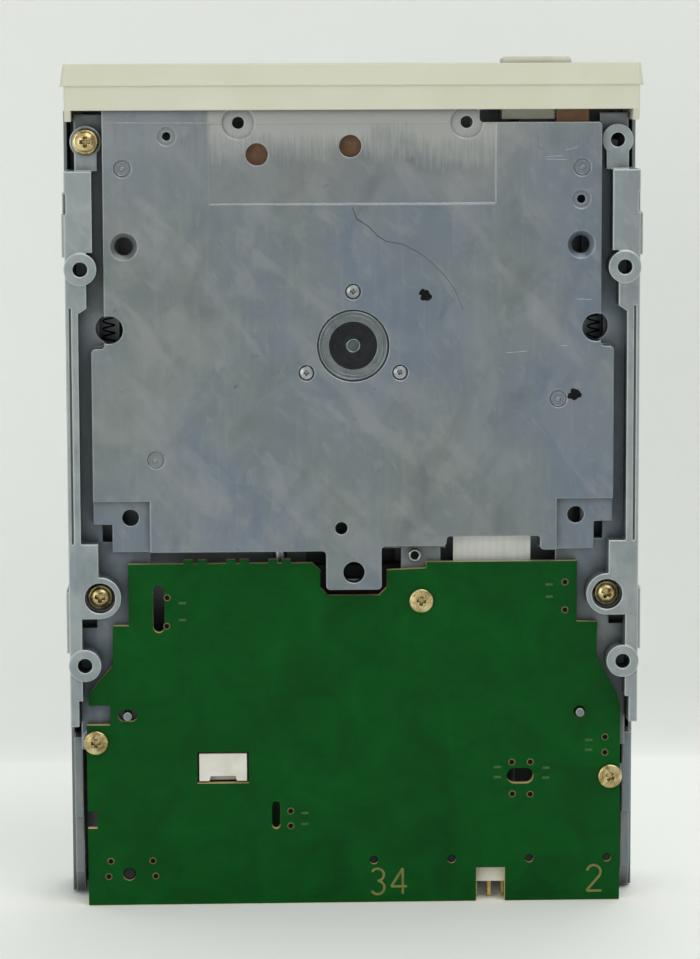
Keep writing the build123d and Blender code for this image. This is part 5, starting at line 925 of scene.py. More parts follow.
def strip(line: Sequence[Spot], width: Sequence[float], low: float, high: float) -> bpy.types.Mesh:
    """Make a thin flat strip along a line.

    Args:
        line: Points in metres.
        width: Width at each point.
        low: Height of the lower face.
        high: Height of the upper face.

    Returns:
        The closed mesh.
    """
    left, right = [], []
    for i, (x, y) in enumerate(line):
        before, after = line[max(i - 1, 0)], line[min(i + 1, len(line) - 1)]
        along = Vector((after[0] - before[0], after[1] - before[1])).normalized()
        aside = Vector((-along.y, along.x)) * width[i] / 2
        left.append((x + aside.x, y + aside.y))
        right.append((x - aside.x, y - aside.y))
    work = bmesh.new()
    rows = [[work.verts.new((*p, z)) for p in side] for side in (left, right) for z in (low, high)]
    low_left, high_left, low_right, high_right = rows
    loop = (low_left, high_left, high_right, low_right)
    for first, second in zip(loop, loop[1:] + loop[:1]):
        for i in range(len(line) - 1):
            work.faces.new((first[i], first[i + 1], second[i + 1], second[i]))
    for end in (0, -1):
        work.faces.new([row[end] for row in loop])
    return finished(work)


def joined(meshes: Sequence[bpy.types.Mesh]) -> bpy.types.Mesh:
    """Join meshes into one.

    Args:
        meshes: The meshes, in place.

    Returns:
        One mesh of them all.
    """
    work = bmesh.new()
    for mesh in meshes:
        work.from_mesh(mesh)
    return finished(work)


def geometry_tree(name: str, sockets: dict[str, str]) -> tuple[bpy.types.NodeTree, bpy.types.Node]:
    """Start a geometry tree with named inputs.

    Args:
        name: Name of the tree.
        sockets: Socket type of each input, by name.

    Returns:
        The tree and its input node.
    """
    tree = bpy.data.node_groups.new(name, "GeometryNodeTree")
    tree.interface.new_socket("Geometry", in_out="INPUT", socket_type="NodeSocketGeometry")
    for label, kind in sockets.items():
        tree.interface.new_socket(label, in_out="INPUT", socket_type=kind)
    tree.interface.new_socket("Geometry", in_out="OUTPUT", socket_type="NodeSocketGeometry")
    return tree, add_node(tree, "NodeGroupInput")


def end_tree(
    tree: bpy.types.NodeTree, points: bpy.types.NodeSocket, shape: bpy.types.NodeSocket,
    turn: bpy.types.NodeSocket, finish: bpy.types.NodeSocket,
) -> None:
    """Set a shape on every point, make it real and give it its material.

    Args:
        tree: The geometry tree.
        points: Points that carry the shape.
        shape: The shape.
        turn: Turn of each copy, as angles about X, Y and Z.
        finish: The material.
    """
    rotation = add_node(tree, "FunctionNodeEulerToRotation", {"Euler": turn})
    copies = add_node(
        tree, "GeometryNodeInstanceOnPoints",
        {"Points": points, "Instance": shape, "Rotation": rotation.outputs["Rotation"]},
    )
    real = add_node(tree, "GeometryNodeRealizeInstances", {"Geometry": copies.outputs["Instances"]})
    dressed = add_node(
        tree, "GeometryNodeSetMaterial", {"Geometry": real.outputs["Geometry"], "Material": finish}
    )
    add_node(tree, "NodeGroupOutput", {"Geometry": dressed.outputs["Geometry"]})


@cache
def scatter_tree() -> bpy.types.NodeTree:
    """Build the tree that sets one object on every point, turned about Z by the point's own angle.

    Returns:
        The tree.
    """
    sockets = {"Shape": "NodeSocketObject", "Finish": "NodeSocketMaterial"}
    tree, given = geometry_tree("set_on_points", sockets)
    source = add_node(tree, "GeometryNodeObjectInfo", {"Object": given.outputs["Shape"], "As Instance": True})
    angle = add_node(tree, "GeometryNodeInputNamedAttribute", {"Name": "turn"}, data_type="FLOAT")
    turn = add_node(tree, "ShaderNodeCombineXYZ", {"Z": angle.outputs["Attribute"]})
    end_tree(
        tree, given.outputs["Geometry"], source.outputs["Geometry"], turn.outputs["Vector"],
        given.outputs["Finish"],
    )
    return tree


@cache
def coil_tree() -> bpy.types.NodeTree:
    """Build the tree that winds a round wire into a coil on every point.

    Returns:
        The tree.
    """
    tree, given = geometry_tree("wind_coils", {
        "Turns": "NodeSocketFloat", "Radius": "NodeSocketFloat", "Length": "NodeSocketFloat",
        "Wire": "NodeSocketFloat", "Tilt": "NodeSocketVector", "Finish": "NodeSocketMaterial",
    })
    path = add_node(
        tree, "GeometryNodeCurveSpiral",
        {"Resolution": COIL_STEPS, "Rotations": given.outputs["Turns"],
         "Start Radius": given.outputs["Radius"], "End Radius": given.outputs["Radius"],
         "Height": given.outputs["Length"], "Reverse": False},
    )
    section = add_node(
        tree, "GeometryNodeCurvePrimitiveCircle",
        {"Resolution": WIRE_STEPS, "Radius": given.outputs["Wire"]}, mode="RADIUS",
    )
    wire = add_node(
        tree, "GeometryNodeCurveToMesh",
        {"Curve": path.outputs["Curve"], "Profile Curve": section.outputs["Curve"], "Fill Caps": True},
    )
    end_tree(
        tree, given.outputs["Geometry"], wire.outputs["Mesh"], given.outputs["Tilt"], given.outputs["Finish"]
    )
    return tree


def grow(tree: bpy.types.NodeTree, points: Sequence[Vector], values: dict[str, Any]) -> bpy.types.Mesh:
    """Run a geometry tree on points and keep the result as a plain mesh.

    Args:
        tree: The geometry tree.
        points: Where the copies stand.
        values: The tree's inputs, by name.

    Returns:
        The plain mesh.
    """
    seeds = bpy.data.meshes.new("seeds")
    seeds.from_pydata(points, [], [])
    turns = seeds.attributes.new("turn", "FLOAT", "POINT")
    turns.data.foreach_set("value", [COPY_TURN * i * i for i in range(len(points))])
    grower = placed("grower", seeds)
    modifier = grower.modifiers.new("grow", "NODES")
    modifier.node_group = tree
    for item in tree.interface.items_tree:
        if item.in_out == "INPUT" and item.name in values:
            modifier[item.identifier] = values[item.name]
    evaluated = grower.evaluated_get(bpy.context.evaluated_depsgraph_get())
    mesh = bpy.data.meshes.new_from_object(evaluated)
    grower.modifiers.remove(modifier)
    bpy.data.objects.remove(grower)
    return mesh


def scatter(shape: bpy.types.Mesh, points: Sequence[Vector], finish: Finish) -> bpy.types.Mesh:
    """Set copies of a shape on points.

    Args:
        shape: The mesh to copy.
        points: Where the copies stand.
        finish: Their finish.

    Returns:
        One plain mesh of all copies.
    """
    source = placed("source", shape)
    mesh = grow(scatter_tree(), points, {"Shape": source, "Finish": material_of(finish)})
    bpy.data.objects.remove(source)
    return mesh


@dataclass
class ScrewSet:
    """One node of alike screws with cross recesses in their heads, put in from below.

    Sizes are in millimetres. The dome is given as shares of the head's radius and of its crown.
    """

    node: str
    slot: str
    head_high: float
    shank_radius: float
    crown: float
    dome: tuple[Spot, ...] = ((0.0, 0.0), (0.35, 0.06), (0.62, 0.25))
    shoulder_share: float = 0.78
    shoulder_drop: float = 0.55
    shoulder_steps: int = 6
    rim_high_share: float = 0.93
    rim_foot_share: float = 0.97
    round_steps: int = 48
    recess_reach_share: float = 0.47
    recess_arm_share: float = 0.17
    recess_depth_share: float = 0.95
    recess_taper_share: float = 0.45
    recess_overrun: float = 0.2
    thread_pitch: float = 0.5
    thread_depth: float = 0.22

    def build(self) -> bpy.types.Object:
        """Make all screws of the node as one piece that stands for it.

        Returns:
            The piece.
        """
        boxes = solids_of(self.node)
        low, high = boxes[0]
        radius = (high.x - low.x) / 2
        shape = self.driven(self.blank(radius, high.z - low.z), radius)
        spots = [Vector(((a.x + b.x) / 2, (a.y + b.y) / 2, a.z)) for a, b in boxes]
        finish = SlotFinish[self.slot.upper()].value
        piece = show(self.node + "_driven", scatter(shape, spots, finish), finish)
        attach(piece, "frame")
        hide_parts(self.node)
        return piece

    def blank(self, radius: float, length: float) -> bpy.types.Mesh:
        """Turn one screw without its recess, head face down at the origin.

        Args:
            radius: Radius of the head in metres.
            length: Length from head face to tip in metres.

        Returns:
            The closed mesh.
        """
        head, crown, shank = self.head_high * MM, self.crown * MM, self.shank_radius * MM
        pitch, root = self.thread_pitch * MM, shank - self.thread_depth * MM
        profile = [(radius * out, crown * down) for out, down in self.dome]
        for i in range(self.shoulder_steps + 1):
            angle = math.pi / 2 * i / self.shoulder_steps
            out = self.shoulder_share + (1 - self.shoulder_share) * math.sin(angle)
            profile.append((radius * out, crown * self.shoulder_drop * (2 - math.cos(angle))))
        profile += [(radius, head * self.rim_high_share), (radius * self.rim_foot_share, head), (shank, head)]
        z = head + pitch
        while z + pitch < length:
            profile += [(root, z), (shank, z + pitch / 2)]
            z += pitch
        profile += [(root, length), (0.0, length)]
        return revolve(profile, self.round_steps)

    def driven(self, blank: bpy.types.Mesh, radius: float) -> bpy.types.Mesh:
        """Sink the cross recess into a screw.

        Args:
            blank: The screw without its recess.
            radius: Radius of the head in metres.

        Returns:
            The closed mesh.
        """
        reach, arm = radius * self.recess_reach_share, radius * self.recess_arm_share
        quarter = [(arm, arm), (arm, reach), (-arm, reach)]
        outline = []
        for turn in range(4):
            spin = Matrix.Rotation(math.pi / 2 * turn, 2)
            outline += [tuple(spin @ Vector(p)) for p in quarter]
        depth = self.head_high * MM * self.recess_depth_share
        recess = prism(outline, -self.recess_overrun * MM, depth, self.recess_taper_share)
        cutter, body = placed("cutter", recess), placed("body", blank)
        cut = body.modifiers.new("recess", "BOOLEAN")
        cut.object, cut.operation, cut.solver = cutter, "DIFFERENCE", "EXACT"
        mesh = bpy.data.meshes.new_from_object(body.evaluated_get(bpy.context.evaluated_depsgraph_get()))
        for thing in (cutter, body):
            bpy.data.objects.remove(thing)
        return mesh


@dataclass
class CoilSet:
    """Round-wire coil springs that stand for one node.

    Sizes are in millimetres. The keep is the share of its length that a spring pressed by the slide keeps;
    here it only gives that spring a mesh of its own.
    """

    node: str
    body: str
    turns: float
    wire: float
    lengthwise: bool
    keep: float = 0.0

    def build(self) -> bpy.types.Object:
        """Wind the springs inside their node's boxes.

        Returns:
            The piece.
        """
        boxes = solids_of(self.node)
        low, high = boxes[0]
        wire = self.wire * MM / 2
        outer = (high.x - low.x) / 2
        span = (high.y - low.y) if self.lengthwise else (high.z - low.z)
        spots = []
        for a, b in boxes:
            middle = (a + b) / 2
            start = (middle.x, a.y + wire, middle.z) if self.lengthwise else (middle.x, middle.y, a.z + wire)
            spots.append(Vector(start))
        finish = ExtraFinish.SPRING_WIRE.value
        mesh = grow(coil_tree(), spots, {
            "Turns": self.turns, "Radius": outer - wire, "Length": span - 2 * wire, "Wire": wire,
            "Tilt": ALONG_Y if self.lengthwise else (0.0, 0.0, 0.0),
            "Finish": material_of(finish),
        })
        piece = show(self.node + "_wound", mesh, finish, WIRE_EDGE)
        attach(piece, self.body)
        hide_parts(self.node)
        if self.keep:
            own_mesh(piece)
        return piece


@dataclass
class LeadScrew:
    """Stepper's lead screw with its thread.

    Sizes are in millimetres.
    """

    lead: float = 3.75
    ridge: float = 0.36
    journal_radius: float = 1.0
    shoulder: float = 2.2
    round_steps: int = 28

    def build(self) -> bpy.types.Object:
        """Turn the core and wind the thread round it.

        Returns:
            The piece.
        """
        low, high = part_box("lead_screw")
        radius, middle = (high.x - low.x) / 2, (low + high) / 2
        length = high.y - low.y
        ridge, journal, shoulder = self.ridge * MM / 2, self.journal_radius * MM, self.shoulder * MM
        core, thread_end = radius - ridge, length - shoulder / 2
        stem = revolve([
            (0.0, 0.0), (journal, 0.0), (journal, shoulder), (core, shoulder), (core, thread_end),
            (journal, thread_end), (journal, length), (0.0, length),
        ], self.round_steps)
        laid = Matrix.Rotation(ALONG_Y[0], 4, "X")
        stem.transform(Matrix.Translation((middle.x, low.y, middle.z)) @ laid)
        run = length - 2 * shoulder
        finish = SlotFinish.BRIGHT_STEEL.value
        thread = grow(coil_tree(), [Vector((middle.x, low.y + shoulder + ridge, middle.z))], {
            "Turns": run / (self.lead * MM), "Radius": core, "Length": run - 2 * ridge, "Wire": ridge,
            "Tilt": ALONG_Y, "Finish": material_of(finish),
        })
        piece = show("lead_screw_threaded", joined([stem, thread]), finish, THREAD_EDGE)
        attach(piece, "lead_screw")
        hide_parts("lead_screw")
        return piece


@dataclass
class BoardMarks:
    """Drilled hole rims with discs of painted shade in them, peg ends, plain numbers and legend bars on the
    underside of the main board.

    Places and sizes are in millimetres.
    """

    rim_radius: float = 0.64
    rim_top_share: float = 0.92
    rim_steps: int = 20
    hole_radius: float = 0.44
    hole_cover_share: float = 1.02
    hole_steps: int = 16
    copper: float = 0.04
    stroke: float = 0.42
    layer_share: float = 0.2
    pad_places: tuple[Spot, ...] = (
        (-33.1, 23.4), (-33.2, 28.5), (37.6, 21.2), (37.6, 26.2), (44.9, 49.3), (44.9, 52.1), (28.2, 53.7),
        (31.5, 53.7), (28.3, 59.5), (31.5, 59.6), (-11.4, 62.2), (-11.4, 64.9), (-43.6, 71.0), (-36.1, 71.0),
        (-44.0, 73.8), (-35.6, 73.8),
    )
    pegs: tuple[Triple, ...] = (
        (3.475, 71.3, 0.72), (17.425, 71.3, 0.72), (31.375, 71.3, 0.72), (45.325, 71.3, 0.72),
        (-40.3, 73.4, 1.1),
    )
    peg_sunk: float = 0.3
    peg_shoulder: float = 0.5
    peg_end_share: float = 0.8
    peg_steps: int = 24
    number_height: float = 4.7
    number_pitch_share: float = 0.78
    number_places: tuple[tuple[str, Spot], ...] = (("34", (2.9, 77.6)), ("2", (41.7, 77.4)))
    tick_places: tuple[Spot, ...] = (
        (34.8, 21.6), (34.8, 23.8), (42.0, 49.8), (42.0, 51.6), (25.6, 54.6), (25.6, 56.4), (34.3, 54.8),
        (34.3, 56.6), (-30.4, 24.4), (-30.4, 27.4), (-8.9, 62.6), (-8.9, 64.6),
    )
    tick_long: float = 1.3

    def build(self) -> list[bpy.types.Object]:
        """Make every mark on the board's underside.

        Returns:
            The pieces.
        """
        low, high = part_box("main_board")
        face, thick = low.z, self.copper * MM
        inner, outer = self.hole_radius * MM, self.rim_radius * MM
        cover, half = inner * self.hole_cover_share, thick / 2
        rim_profile = [(inner, 0.0), (inner, -thick), (outer * self.rim_top_share, -thick), (outer, 0.0)]
        ring = revolve(rim_profile, self.rim_steps)
        # Painted shade: a thin dark disc in each hole stands for its shaded inside
        hole_shade_disc = revolve([(0.0, 0.0), (cover, 0.0), (cover, -half), (0.0, -half)], self.hole_steps)
        pads = [Vector((x * MM, y * MM, face)) for x, y in self.pad_places]
        rim, dark = ExtraFinish.HOLE_RIM.value, ExtraFinish.HOLE_DARK.value
        black = SlotFinish.BLACK_PLASTIC.value
        marks = (
            Mark("drilled_hole_rims", scatter(ring, pads, rim), rim),
            Mark("drilled_holes", scatter(hole_shade_disc, pads, dark), dark),
            Mark("header_peg_ends", self.peg_ends(face, high.z), black, "black_plastic"),
            Mark("board_numbers", self.numbers(face), ExtraFinish.BOARD_TAN.value),
            Mark("board_legend_bars", self.ticks(face), ExtraFinish.BOARD_LEGEND.value),
        )
        return [mark.lay() for mark in marks]

    def peg_ends(self, face: float, top: float) -> bpy.types.Mesh:
        """Turn the ends of the headers' pegs in their holes.

        Args:
            face: Height of the board's underside in metres.
            top: Height of its upper side in metres.

        Returns:
            One mesh of all pegs.
        """
        sunk, shoulder, length = self.peg_sunk * MM, self.peg_shoulder * MM, top - face
        pegs = []
        for x, y, radius_mm in self.pegs:
            radius = radius_mm * MM
            peg = revolve([
                (0.0, sunk), (radius * self.peg_end_share, sunk), (radius, shoulder), (radius, length),
                (0.0, length),
            ], self.peg_steps)
            peg.transform(Matrix.Translation((x * MM, y * MM, face)))
            pegs.append(peg)
        return joined(pegs)

    def digit(self, figure: str) -> list[list[Spot]]:
        """Give a digit's strokes in a box of height 1, with up as positive.

        Args:
            figure: One of the digits 2, 3 and 4.

        Returns:
            The strokes' points.
        """
        def bow(middle: Spot, radius: float, start: float, end: float, steps: int = 12) -> list[Spot]:
            """Give points along a circular arc, with angles in degrees."""
            turns = [math.radians(start + (end - start) * i / steps) for i in range(steps + 1)]
            return [(middle[0] + radius * math.cos(t), middle[1] + radius * math.sin(t)) for t in turns]

        if figure == "2":
            return [bow((0.28, 0.74), 0.26, 170, -38) + [(0.0, 0.0)], [(0.0, 0.0), (0.58, 0.0)]]
        if figure == "3":
            return [bow((0.26, 0.76), 0.24, 150, -90), bow((0.26, 0.26), 0.26, 90, -150)]
        return [[(0.44, 0.0), (0.44, 1.0)], [(0.44, 1.0), (0.0, 0.3)], [(0.0, 0.3), (0.6, 0.3)]]

    def numbers(self, face: float) -> bpy.types.Mesh:
        """Draw the plain pin numbers.

        Args:
            face: Height of the board's underside in metres.

        Returns:
            One mesh of all strokes.
        """
        size, wide, thick = self.number_height * MM, self.stroke * MM, self.copper * MM
        strokes = []
        for word, (x, y) in self.number_places:
            for step, figure in enumerate(word):
                start = x * MM + step * size * self.number_pitch_share
                for layer, stroke in enumerate(self.digit(figure)):
                    line = [(start + u * size, y * MM - v * size) for u, v in stroke]
                    under = face - thick * (1 + self.layer_share * layer)
                    strokes.append(strip(line, [wide] * len(line), under, face))
        return joined(strokes)

    def ticks(self, face: float) -> bpy.types.Mesh:
        """Draw the short bars beside the test pads.

        Args:
            face: Height of the board's underside in metres.

        Returns:
            One mesh of all bars.
        """
        half, wide, thick = self.tick_long * MM / 2, self.stroke * MM, self.copper * MM
        bars = []
        for x, y in self.tick_places:
            line = [(x * MM - half, y * MM), (x * MM + half, y * MM)]
            bars.append(strip(line, [wide, wide], face - thick / 2, face))
        return joined(bars)


@dataclass
class CastingMarks:
    """Flow seam, rubbed lines, ejector rings, ink dabs and a hollow rivet on the underside of the casting.

    Places and sizes are in millimetres. A point of the seam has its width, and a dab its radius. The taper
    gives a line's width by its length, and the rivet's rim its height by its width, all as shares.
    """

    film: float = 0.02
    seam: tuple[Triple, ...] = (
        (-0.1, -45.6, 0.1), (0.7, -43.5, 0.2), (2.6, -42.3, 0.16), (4.4, -40.5, 0.2), (5.8, -39.6, 0.14),
        (8.6, -39.1, 0.12), (11.4, -37.7, 0.12), (13.8, -35.9, 0.1), (16.1, -33.5, 0.08),
        (17.9, -31.0, 0.08), (19.3, -27.5, 0.04),
    )
    dabs: tuple[Triple, ...] = (
        (12.8, -30.0, 0.95), (12.2, -30.6, 0.6), (39.1, -12.5, 1.0), (38.2, -12.2, 0.5),
    )
    dab_corners: int = 18
    dab_lobes: tuple[tuple[int, float], ...] = ((3, 0.14), (5, 0.08))
    dab_layer_share: float = 0.2
    rubbed: tuple[tuple[Spot, Spot], ...] = (
        ((-14.8, -46.0), (24.9, -45.9)), ((-43.5, -60.4), (-24.0, -60.3)), ((26.8, -19.9), (30.7, -20.2)),
        ((36.5, -21.1), (37.7, -21.1)), ((39.2, -29.3), (42.1, -29.2)), ((37.1, -55.4), (39.4, -55.8)),
        ((33.3, -54.2), (36.8, -54.4)), ((33.5, -53.8), (37.8, -53.7)),
    )
    rubbed_wide: float = 0.14
    rubbed_layer_share: float = 0.05
    rubbed_taper: tuple[Spot, ...] = ((0.0, 0.3), (0.2, 1.0), (0.5, 0.7), (0.8, 1.0), (1.0, 0.3))
    ejector_places: tuple[Spot, ...] = ((-40.2, -52.4), (40.2, -52.3), (36.1, -11.6), (-34.9, -1.2))
    ejector_sunk: float = 0.25
    ejector_ring: tuple[Spot, ...] = ((1.0, 0.0), (1.08, 0.14), (1.22, 0.16), (1.34, 0.0))
    ejector_nib: tuple[Spot, ...] = ((0.0, 0.0), (0.5, 0.0), (0.38, 0.12), (0.0, 0.15))
    rivet_beside_screw: float = 1.1
    rivet_back: float = 16.3
    rivet_low: float = 3.9
    rivet_radius: float = 1.15
    rivet_mouth_share: float = 0.62
    rivet_rim_high: float = 0.14
    rivet_rim: tuple[Spot, ...] = ((0.0, 0.0), (0.2, 0.8), (0.5, 1.0), (0.8, 0.7), (1.0, 0.0))
    ring_steps: int = 32
    nib_steps: int = 24

    def build(self) -> list[bpy.types.Object]:
        """Lay the marks on the casting's underside.

        Returns:
            The pieces.
        """
        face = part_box("chassis")[0].z
        seam_line = [(x * MM, y * MM) for x, y, _ in self.seam]
        seam = strip(seam_line, [wide * MM for _, _, wide in self.seam], face - self.film * MM, face)
        cast, steel = SlotFinish.CAST_ALUMINIUM.value, SlotFinish.BRIGHT_STEEL.value
        rings = self.ejector_rings(face + self.ejector_sunk * MM, cast)
        mouth, rim = self.rivet_end()
        marks = (
            Mark("casting_seam", seam, ExtraFinish.SEAM.value),
            Mark("rubbed_lines", self.rubbed_lines(face), ExtraFinish.RUBBED.value),
            Mark("ink_dabs", self.ink(face), ExtraFinish.INK.value),
            Mark("ejector_rings", rings, cast, "cast_aluminium"),
            # Painted shade: a dark disc stands for the rivet's shaded hollow
            Mark("rivet_mouth", mouth, ExtraFinish.HOLE_DARK.value),
            Mark("rivet_rim", rim, steel, "bright_steel", sharp=TURNED_EDGE),
        )
        return [mark.lay() for mark in marks]

    def rivet_end(self) -> tuple[bpy.types.Mesh, bpy.types.Mesh]:
        """Turn the rivet's mouth, a dark disc of painted shade for its hollow, and its rolled rim, beside the
        board's middle screw.

        Returns:
            The mouth and the rim.
        """
        screws = [(low + high) / 2 for low, high in solids_of("board_screws")]
        middle = min(screws, key=lambda spot: abs(spot.x))
        outer, film, high = self.rivet_radius * MM, self.film * MM, self.rivet_rim_high * MM
        inner = outer * self.rivet_mouth_share
        mouth = revolve([(0.0, -film), (inner, -film), (inner, 0.0), (0.0, 0.0)], self.ring_steps)
        rolled = [(inner + (outer - inner) * out, -high * up) for out, up in self.rivet_rim]
        rim = revolve(rolled, self.ring_steps)
        place = (middle.x - self.rivet_beside_screw * MM, self.rivet_back * MM, self.rivet_low * MM)
        for mesh in (mouth, rim):
            mesh.transform(Matrix.Translation(place))
        return mouth, rim

    def rubbed_lines(self, face: float) -> bpy.types.Mesh:
        """Draw the thin rubbed ridges and scratches, each tapering to its ends.

        Args:
            face: Height of the floor's underside in metres.

        Returns:
            One mesh of all lines.
        """
        lines = []
        for layer, ends in enumerate(self.rubbed):
            start, end = (Vector(p) * MM for p in ends)
            line = [tuple(start.lerp(end, along)) for along, _ in self.rubbed_taper]
            width = [self.rubbed_wide * MM * share for _, share in self.rubbed_taper]
            under = face - self.film * MM * (1 + self.rubbed_layer_share * layer)
            lines.append(strip(line, width, under, face))
        return joined(lines)

    def ink(self, face: float) -> bpy.types.Mesh:
        """Dab the ink as thin uneven spots.

        Args:
            face: Height of the floor's underside in metres.

        Returns:
            One mesh of all spots.
        """
        spots = []
        for layer, (x, y, radius) in enumerate(self.dabs):
            outline = []
            for i in range(self.dab_corners):
                turn = math.tau * i / self.dab_corners
                # Each set of lobes is turned by the dab's own place
                lobes = zip(self.dab_lobes, (x, y))
                swell = sum(share * math.sin(count * turn + phase) for (count, share), phase in lobes)
                out = radius * MM * (1 + swell)
                outline.append((x * MM + out * math.cos(turn), y * MM + out * math.sin(turn)))
            spots.append(prism(outline, face - self.film * MM * (1 + self.dab_layer_share * layer), face))
        return joined(spots)

    def ejector_rings(self, face: float, finish: Finish) -> bpy.types.Mesh:
        """Stand a ring and a nib in each ejector mark.

        Args:
            face: Height of the marks' sunk faces in metres.
            finish: The casting's finish.

        Returns:
            One mesh of all rings and nibs.
        """
        ring = revolve([(radius * MM, -high * MM) for radius, high in self.ejector_ring], self.ring_steps)
        nib = revolve([(radius * MM, -high * MM) for radius, high in self.ejector_nib], self.nib_steps)
        spots = [Vector((x * MM, y * MM, face)) for x, y in self.ejector_places]
        return scatter(joined([ring, nib]), spots, finish)


@dataclass
class SpindleTrim:
    """Turned rims of the spindle bearing, moulded rings of its cap, and the ring on the shaft's end.

    A ring is given by its outer and inner radius and its height in millimetres. Its rounded section is given
    as shares of its width and height.
    """

    bearing_rings: tuple[Triple, ...] = ((6.14, 5.66, 0.22), (5.4, 5.12, 0.12))
    cap_rings: tuple[Triple, ...] = ((4.12, 3.86, 0.1), (3.2, 3.0, 0.05), (2.3, 2.12, 0.05))
    shaft_rings: tuple[Triple, ...] = ((1.18, 1.02, 0.08),)
    rounded: tuple[Spot, ...] = ((0.0, 0.0), (0.12, 0.7), (0.32, 1.0), (0.68, 1.0), (0.88, 0.7), (1.0, 0.0))
    ring_steps: int = 72
    face_film: float = 0.03
    face_foot_share: float = 1.04
    face_steps: int = 32

    def on_spindle(self, mesh: bpy.types.Mesh, node: str) -> bpy.types.Mesh:
        """Move a mesh from the origin to the spindle's axis, on the underside of a node.

        Args:
            mesh: The mesh, turned about Z.
            node: The node that carries it.

        Returns:
            The same mesh, in place.
        """
        low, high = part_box("spindle_shaft")
        mesh.transform(Matrix.Translation(((low.x + high.x) / 2, (low.y + high.y) / 2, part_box(node)[0].z)))
        return mesh

    def rings(self, node: str, sizes: Sequence[Triple]) -> bpy.types.Mesh:
        """Turn rounded rings that stand on the underside of a node, about the spindle.

        Args:
            node: The node that carries the rings.
            sizes: Outer radius, inner radius and height of each.

        Returns:
            One mesh of the rings.
        """
        turned = []
        for outer, inner, high in sizes:
            wide = outer - inner
            profile = [((inner + wide * out) * MM, -high * up * MM) for out, up in self.rounded]
            turned.append(revolve(profile, self.ring_steps))
        return self.on_spindle(joined(turned), node)

    def shaft_face(self) -> bpy.types.Mesh:
        """Turn a thin disc that dulls the sawn middle of the shaft's end, inside its bright ring.

        Returns:
            The disc.
        """
        radius, film = self.shaft_rings[0][1] * MM, self.face_film * MM
        profile = [(0.0, -film), (radius, -film), (radius * self.face_foot_share, 0.0), (0.0, 0.0)]
        return self.on_spindle(revolve(profile, self.face_steps), "spindle_shaft")

    def build(self) -> list[bpy.types.Object]:
        """Turn the rings of the bearing, the cap and the shaft.

        Returns:
            The pieces.
        """
        plan = (
            ("bearing_rims", "spindle_bearing", self.bearing_rings, "dark_bearing", "frame"),
            ("cap_rings", "bearing_cap", self.cap_rings, "black_plastic", "frame"),
            ("shaft_end_ring", "spindle_shaft", self.shaft_rings, "bright_steel", "spindle"),
        )
        pieces = [Mark("shaft_end_face", self.shaft_face(), ExtraFinish.SEAM.value, body="spindle").lay()]
        for name, node, sizes, slot, body in plan:
            finish = SlotFinish[slot.upper()].value
            pieces.append(Mark(name, self.rings(node, sizes), finish, slot, body, TURNED_EDGE).lay())
        return pieces


@dataclass(frozen=True)
class Lamp:
    """A soft square lamp: its place and side in metres, and its power in watts."""

    name: str
    place: Triple
    side: float
    power: float

    def hang(self) -> None:
        """Hang the lamp so that it faces the object."""
        light = bpy.data.lights.new(self.name, "AREA")
        light.size, light.energy = self.side, self.power
        lamp = placed(self.name, light)
        lamp.location = self.place
        lamp.rotation_euler = (-Vector(self.place)).to_track_quat("-Z", "Y").to_euler()


